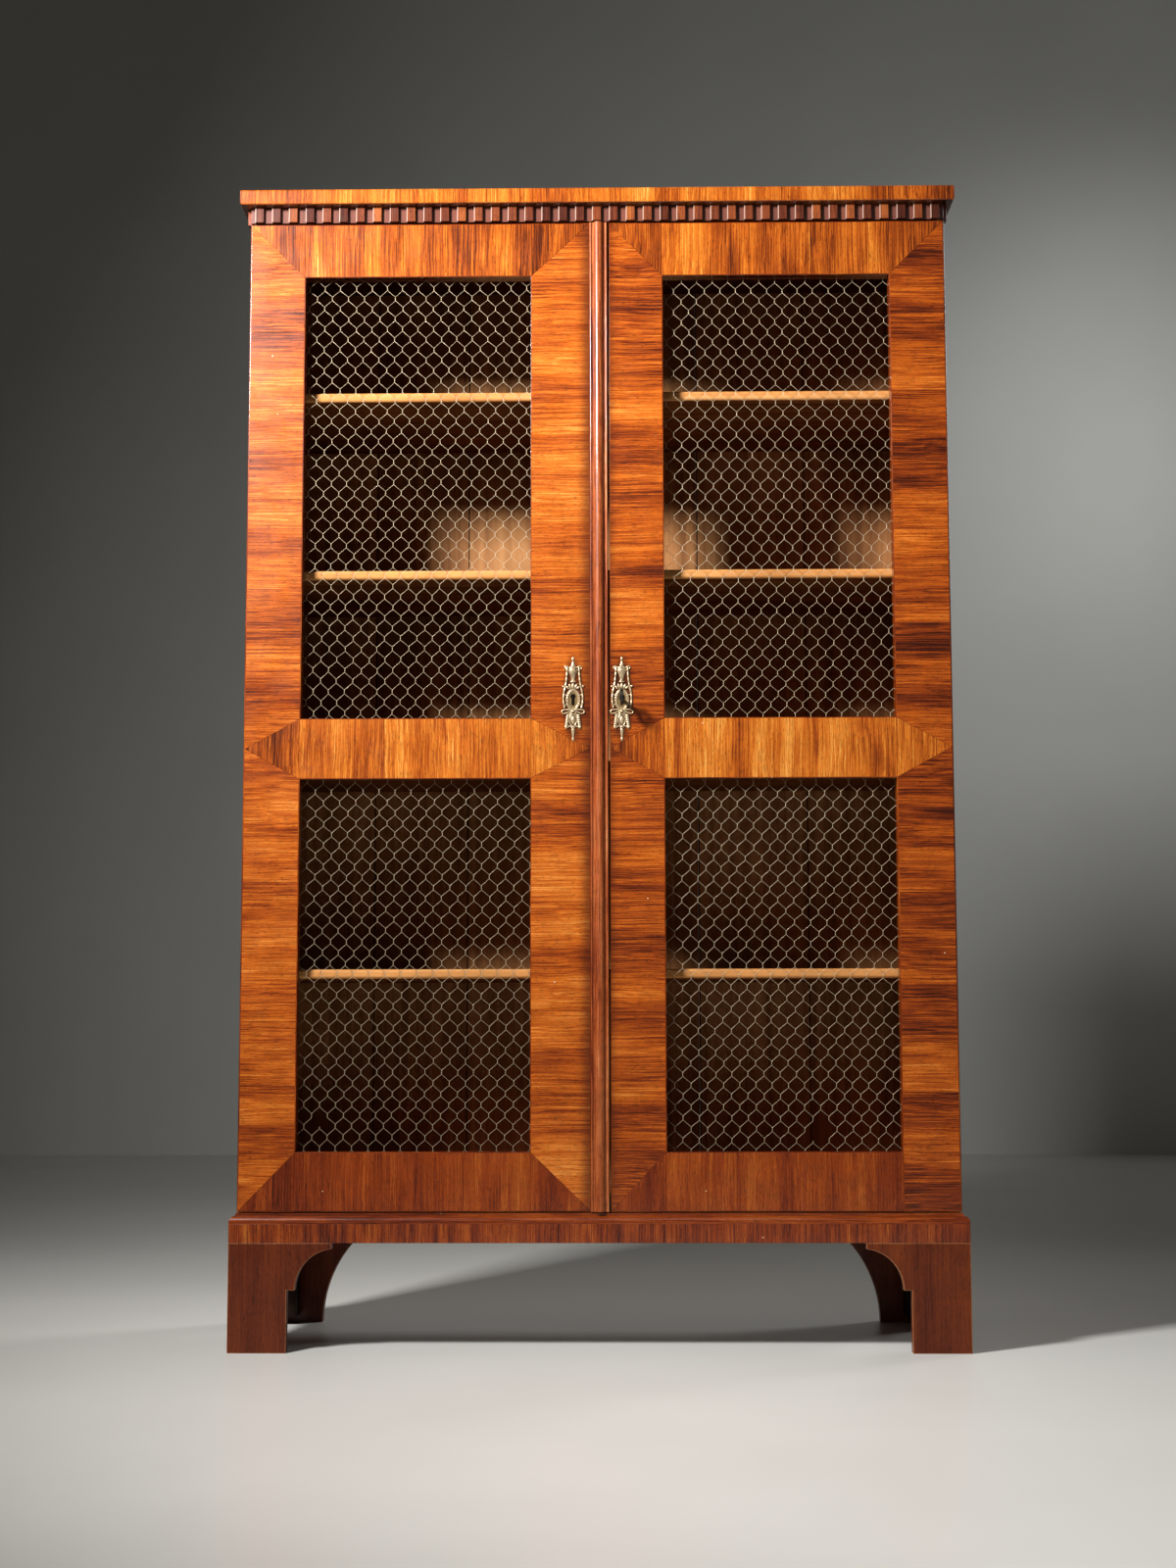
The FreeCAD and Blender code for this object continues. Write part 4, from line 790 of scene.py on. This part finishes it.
def cast_ornament(shape):
    """Urn on a leaf, side drops, ribbed oval, ribbon bow, oval boss between sprigs, and a pendant."""
    turned_form(shape, URN_TURNING)
    turned_form(shape, DROP_TURNING)
    strand(shape, oval(10.2, 16.2, 0, 1.5, 1.2, 48, 0.25), True)
    strand(shape, oval(8.3, 14.2, 0, 1.9, 0.85), True)
    boss(shape, 0, 22, 2.0, 2.4, 1.9, 5.2)
    boss(shape, 0, -18.5, 2.4, 2.4, 2.0, 2.2)
    boss(shape, 0, -32.3, 1.2, 4.0, 2.4, 7.2)
    strand(shape, oval(5.7, 9.3, -32.3, 1.5, 0.95), True)
    for hand in (-1, 1):
        curl = [(7.0, 51.6), (9.0, 53.8), (11.6, 54.0), (13.3, 51.8), (12.4, 49.4), (10.4, 49.6),
                (10.6, 51.4)]
        strand(shape, [(hand * x, z, 1.4, 1.15 - 0.05 * step) for step, (x, z) in enumerate(curl)])
        drop = [(9.2, 52.0), (9.5, 48), (9.7, 44), (9.9, 40), (10.2, 36), (10.6, 32), (11.1, 28), (11.8, 24),
                (12.6, 20), (13.9, 15), (14.8, 10), (15.2, 5), (15.3, 0), (15.0, -5), (14.3, -9), (13.2, -13)]
        strand(shape, [(hand * x, z, 1.3, 1.8 if step % 2 else 1.4) for step, (x, z) in enumerate(drop)])
        boss(shape, hand * 15.8, 21.6, 1.4, 1.9, 1.5, 1.9)
        strand(shape, [(hand * 12.2, 21.6, 1.2, 0.9), (hand * 15.5, 21.6, 1.2, 0.9)])
        boss(shape, hand * 4.6, 21.5, 1.7, 2.1, 1.6, 4.6, hand * 22)
        boss(shape, hand * 8.2, 19.6, 1.4, 1.9, 1.3, 3.6, hand * 48)
        strand(shape, [(hand * 10.3, 8, 0.9, 0.9), (hand * 15, 8, 0.9, 0.9)])
        strand(shape, [(hand * 10.3, -8, 0.9, 0.9), (hand * 14.6, -8, 0.9, 0.9)])
        ribbon = [(0.5, -18.3), (4, -16.4), (8, -15.6), (12, -15.8), (16, -16.4), (18.2, -18.6), (17, -21.4),
                  (13.4, -22.2), (10.4, -20.8), (7, -19.6), (2, -19)]
        strand(shape, [(hand * x, z, 1.7, 1.2) for x, z in ribbon])
        tail = [(1.6, -20), (4.6, -22.4), (7.4, -24.4), (8.8, -28)]
        strand(shape, [(hand * x, z, 1.5, 1.1) for x, z in tail])
        for step in range(6):
            tilt = hand * (38 - 8 * (step % 2))
            boss(shape, hand * (8.2 + 0.5 * step), -25.5 - 3.6 * step, 1.4, 2.7, 1.6, 3.1, tilt)
        foot = [(12.6, -44.2), (9.6, -44.4), (6.4, -42.6), (3.6, -41.6)]
        strand(shape, [(hand * x, z, 1.3, 1.15) for x, z in foot])


def keyhole_plate(shape):
    """The sunk field of the oval, pierced by a keyhole."""
    rings = {}
    for level, depth in (("front", -FIELD_THICK), ("back", 0.0)):
        for rim in ("field", "hole"):
            ring = []
            for step in range(FIELD_SIDES):
                angle = (step + 0.5) / FIELD_SIDES * 2 * math.pi
                x, z = math.cos(angle), math.sin(angle)
                reach = 1 / math.hypot(x / FIELD_HALF[0], z / FIELD_HALF[1])
                lift = 0.0
                if rim == "hole":
                    slot = min(SLOT_HALF / max(abs(x), 1e-6), SLOT_DEEP / max(-z, 1e-6)) if z < 0 else 0.0
                    reach = max(HOLE_RADIUS, slot)
                    lift = HOLE_Z
                ring.append(shape.verts.new((x * reach, depth, z * reach + lift)))
            rings[level, rim] = ring
    order = [rings["front", "field"], rings["front", "hole"], rings["back", "hole"], rings["back", "field"]]
    skin_rings(shape, order, True)


def keyhole_shade(shape):
    """A black oval of painted shade that shows through the keyhole."""
    rims = []
    for depth in SHADE_DEPTHS:
        rim = []
        for step in range(SHADE_SIDES):
            angle = step / SHADE_SIDES * 2 * math.pi
            x, z = SHADE_HALF[0] * math.cos(angle), SHADE_Z + SHADE_HALF[1] * math.sin(angle)
            rim.append(shape.verts.new((x, depth, z)))
        rims.append(rim)
    skin_rings(shape, rims)


def seat(shape, spot):
    """Sets a form drawn in millimetres on the door, with its faces turned outward."""
    bmesh.ops.transform(shape, matrix=spot, verts=shape.verts)
    bmesh.ops.recalc_face_normals(shape, faces=shape.faces)


def plant_escutcheon(side, sign):
    """Casts the ornament as one skin, adds its pierced field and sets it on the door."""
    spot = Matrix.Translation((sign * LOCK_X, DOOR_FACE - LEAF_THICK * 0.5, LOCK_Z)) @ Matrix.Scale(MM, 4)
    shape = bmesh.new()
    cast_ornament(shape)
    seat(shape, spot)
    casting = mesh_piece(f"{side}_escutcheon_casting", shape)
    skin = casting.modifiers.new("skin", "REMESH")
    skin.mode = "VOXEL"
    skin.voxel_size = CAST_VOXEL
    skin.use_smooth_shade = True
    soften = casting.modifiers.new("soften", "SMOOTH")
    soften.factor = 0.5
    soften.iterations = 2
    shown = casting.evaluated_get(bpy.context.evaluated_depsgraph_get())
    mesh = bpy.data.meshes.new_from_object(shown)
    casting.modifiers.clear()
    casting.data = mesh
    show(casting, cast_brass, f"{side}_door")
    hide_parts(f"{side}_escutcheon")
    shape = bmesh.new()
    keyhole_plate(shape)
    seat(shape, spot)
    show(mesh_piece(f"{side}_keyhole_plate", shape), shaded_sunk_brass, f"{side}_door")
    shape = bmesh.new()
    keyhole_shade(shape)
    seat(shape, spot)
    show(mesh_piece(f"{side}_keyhole_shade", shape), keyhole_shade_black, f"{side}_door")


plant_escutcheon("left", -1)
plant_escutcheon("right", 1)


# Screws and bead pins

# A screw's slot leaves this share of the radius free on both sides of its middle.
SLOT_SHARE = 0.17
LOCK_SCREW = 0.0032
SMALL_SCREW = 0.0024
STRIKE_Y = -0.147
BOLT_X = -0.040
# Pins: distance along the upright slips, number along a level one, place in the slip, stray and radius.
PIN_PITCH = 0.12
PINS_LEVEL = 3
PIN_INSET = 0.0045
PIN_STRAY = 0.001
PIN_RADIUS = 0.0011


def fastener_place(spot, out, turn):
    """A frame at a spot with its Z axis pointing out of the surface."""
    across = out.orthogonal().normalized()
    facing = Matrix((across, out.cross(across), out)).transposed().to_4x4()
    return Matrix.Translation(spot) @ facing @ Matrix.Rotation(turn, 4, "Z")


def raise_head(shape, place, radius, angles, profile):
    """Skins a small head from the surface up; profile gives reach and height as shares of its radius."""
    rims = []
    for reach, height in profile:
        flat = [(reach * radius * math.cos(angle), reach * radius * math.sin(angle)) for angle in angles]
        rims.append([shape.verts.new(place @ Vector((x, y, height * radius))) for x, y in flat])
    skin_rings(shape, rims)


def screw_head(shape, spot, out, radius, turn):
    """A countersunk head: two half rounds with the slot between them."""
    place = fastener_place(spot, out, turn)
    lean = math.asin(SLOT_SHARE)
    for half in (0, math.pi):
        angles = [half + lean + (math.pi - 2 * lean) * step / 12 for step in range(13)]
        raise_head(shape, place, radius, angles, ((1.0, 0.0), (1.0, 0.05), (0.9, 0.11)))


def pin_head(shape, spot, out, radius):
    """The flattened head of a bead pin."""
    angles = [step / 10 * 2 * math.pi for step in range(10)]
    raise_head(shape, fastener_place(spot, out, 0), radius, angles, ((1.0, 0.0), (0.9, 0.25), (0.5, 0.4)))


def drive_screws(name, body, finish, spots, out, radius):
    """One piece with all the screws of a fitting."""
    draw = random.Random(name)
    shape = bmesh.new()
    for spot in spots:
        screw_head(shape, Vector(spot), Vector(out), radius, draw.uniform(0, math.pi))
    bmesh.ops.recalc_face_normals(shape, faces=shape.faces)
    show(mesh_piece(name, shape), finish, body)


lock_screws = [(x, DOOR_BACK, z) for x in (0.0265, 0.0815) for z in (0.9835, 1.0545)]
drive_screws("lock_case_screws", "right_door", forged_iron, lock_screws, (0, 1, 0), LOCK_SCREW)
strike_screws = [(0.017, STRIKE_Y, z) for z in (1.0195, 1.0465)]
drive_screws("strike_plate_screws", "left_door", plate_brass, strike_screws, (1, 0, 0), SMALL_SCREW)
guide_screws = [(BOLT_X + aside, GUIDE_FACE, z + up)
                for z in (0.313, 1.717) for up in (-0.03, 0.03) for aside in (-0.0094, 0.0094)]
drive_screws("slide_guide_screws", "left_door", forged_iron, guide_screws, (0, 1, 0), SMALL_SCREW)


def pin_beads(side, sign):
    """Pins along the slips that hold the nets."""
    draw = random.Random(f"pins {side}")
    shape = bmesh.new()
    for low, high in ((LOW_SILL, LOW_HEAD), (HIGH_SILL, HIGH_HEAD)):
        rows = round((high - low) / PIN_PITCH)
        wide = OPENING_OUT - OPENING_IN
        level = [OPENING_IN + wide * (step + 0.5) / PINS_LEVEL for step in range(PINS_LEVEL)]
        spots = []
        for x in (OPENING_IN - PIN_INSET, OPENING_OUT + PIN_INSET):
            spots += [(sign * x, low + (high - low) * (row + 0.5) / rows) for row in range(rows)]
        for z in (low - PIN_INSET, high + PIN_INSET):
            spots += [(sign * x, z) for x in level]
        for x, z in spots:
            x += draw.uniform(-PIN_STRAY, PIN_STRAY)
            z += draw.uniform(-PIN_STRAY, PIN_STRAY)
            pin_head(shape, Vector((x, DOOR_BACK, z)), Vector((0, 1, 0)), PIN_RADIUS)
    bmesh.ops.recalc_face_normals(shape, faces=shape.faces)
    show(mesh_piece(f"{side}_bead_pins", shape), forged_iron, f"{side}_door")


pin_beads("left", -1)
pin_beads("right", 1)


# Stage, light and camera

STAGE_HALF = 9
WALL_Y = 5.2
WALL_HIGH = 8
# The photograph's focal length and height in pixels, and the height of the sensor that stands for it.
FOCAL_PIXELS = 2300
HIGH_PIXELS = 1600
SENSOR = 36


def stage_plane(name, corners, tone, rough):
    """A plain floor or wall."""
    finish, tree = new_finish(name)
    place = add(tree, "TexCoord").outputs
    cloud = add(tree, "TexNoise", {"Vector": place["Object"], "Scale": 1.5, "Detail": 3.0}).outputs["Fac"]
    colour = tone_ramp(tree, cloud, tone)
    shader = add(tree, "BsdfPrincipled", {"Base Color": colour, "Roughness": rough})
    add(tree, "OutputMaterial", {0: shader.outputs[0]})
    shape = bmesh.new()
    shape.faces.new([shape.verts.new(corner) for corner in corners])
    plane = mesh_piece(name, shape)
    plane.data.materials.append(finish)


stage_plane("floor", [(-STAGE_HALF, -STAGE_HALF, 0), (STAGE_HALF, -STAGE_HALF, 0),
                      (STAGE_HALF, WALL_Y, 0), (-STAGE_HALF, WALL_Y, 0)],
            [(0.3, "#e6e4dd"), (0.7, "#eeece6")], 0.35)
stage_plane("backdrop", [(-STAGE_HALF, WALL_Y, 0), (STAGE_HALF, WALL_Y, 0),
                         (STAGE_HALF, WALL_Y, WALL_HIGH), (-STAGE_HALF, WALL_Y, WALL_HIGH)],
            [(0.3, "#d6d6d1"), (0.7, "#dcdcd7")], 0.9)


def lamp(name, spot, target, size, power, spread):
    """A soft square lamp that looks at a point; a small spread keeps its light together."""
    light = bpy.data.lights.new(name, "AREA")
    light.size = size
    light.energy = power
    light.spread = math.radians(spread)
    lamp_object = bpy.data.objects.new(name, light)
    lamp_object.location = spot
    lamp_object.visible_camera = False
    lamp_object.rotation_euler = (Vector(target) - Vector(spot)).to_track_quat("-Z", "Y").to_euler()
    bpy.context.scene.collection.objects.link(lamp_object)


lamp("key_lamp", (-1.31, -1.62, 2.13), (0.15, -0.2, 1.5), 0.36, 60, 120)
lamp("wall_lamp", (2.6, 2.2, 4.2), (1.9, WALL_Y, 2.6), 0.6, 3.3, 52)
lamp("floor_lamp", (0.2, -2.6, 3.0), (0.2, -2.0, 0), 1.0, 8, 64)
lamp("back_lamp", (3.2, 2.6, 2.6), (0, 0.2, 0.9), 1.4, 5, 40)

# The eye and polished metal see a mid grey room, which lights the cabinet only faintly.
world = bpy.data.worlds.new("studio")
world.use_nodes = True
room = world.node_tree
seen = add(room, "LightPath").outputs
eye_or_metal = reckon(room, "MAXIMUM", seen["Is Camera Ray"], seen["Is Glossy Ray"])
strength = remap(room, eye_or_metal, 0, 1, 0.18, 1.0)
backing = room.nodes["Background"]
backing.inputs["Color"].default_value = srgb("#6a6a67")
room.links.new(strength, backing.inputs["Strength"])
bpy.context.scene.world = world

camera_data = bpy.data.cameras.new("camera")
camera_data.sensor_fit = "VERTICAL"
camera_data.sensor_height = SENSOR
camera_data.lens = FOCAL_PIXELS / HIGH_PIXELS * SENSOR
camera = bpy.data.objects.new("camera", camera_data)
camera.location = (0.0392, -3.7076, 0.5004)
camera.rotation_euler = Euler((math.radians(90 + 6.125), 0, math.radians(0.881)))
camera.rotation_euler.rotate_axis("Z", math.radians(-0.088))
bpy.context.scene.collection.objects.link(camera)
bpy.context.scene.camera = camera
bpy.context.scene.view_settings.view_transform = "Standard"
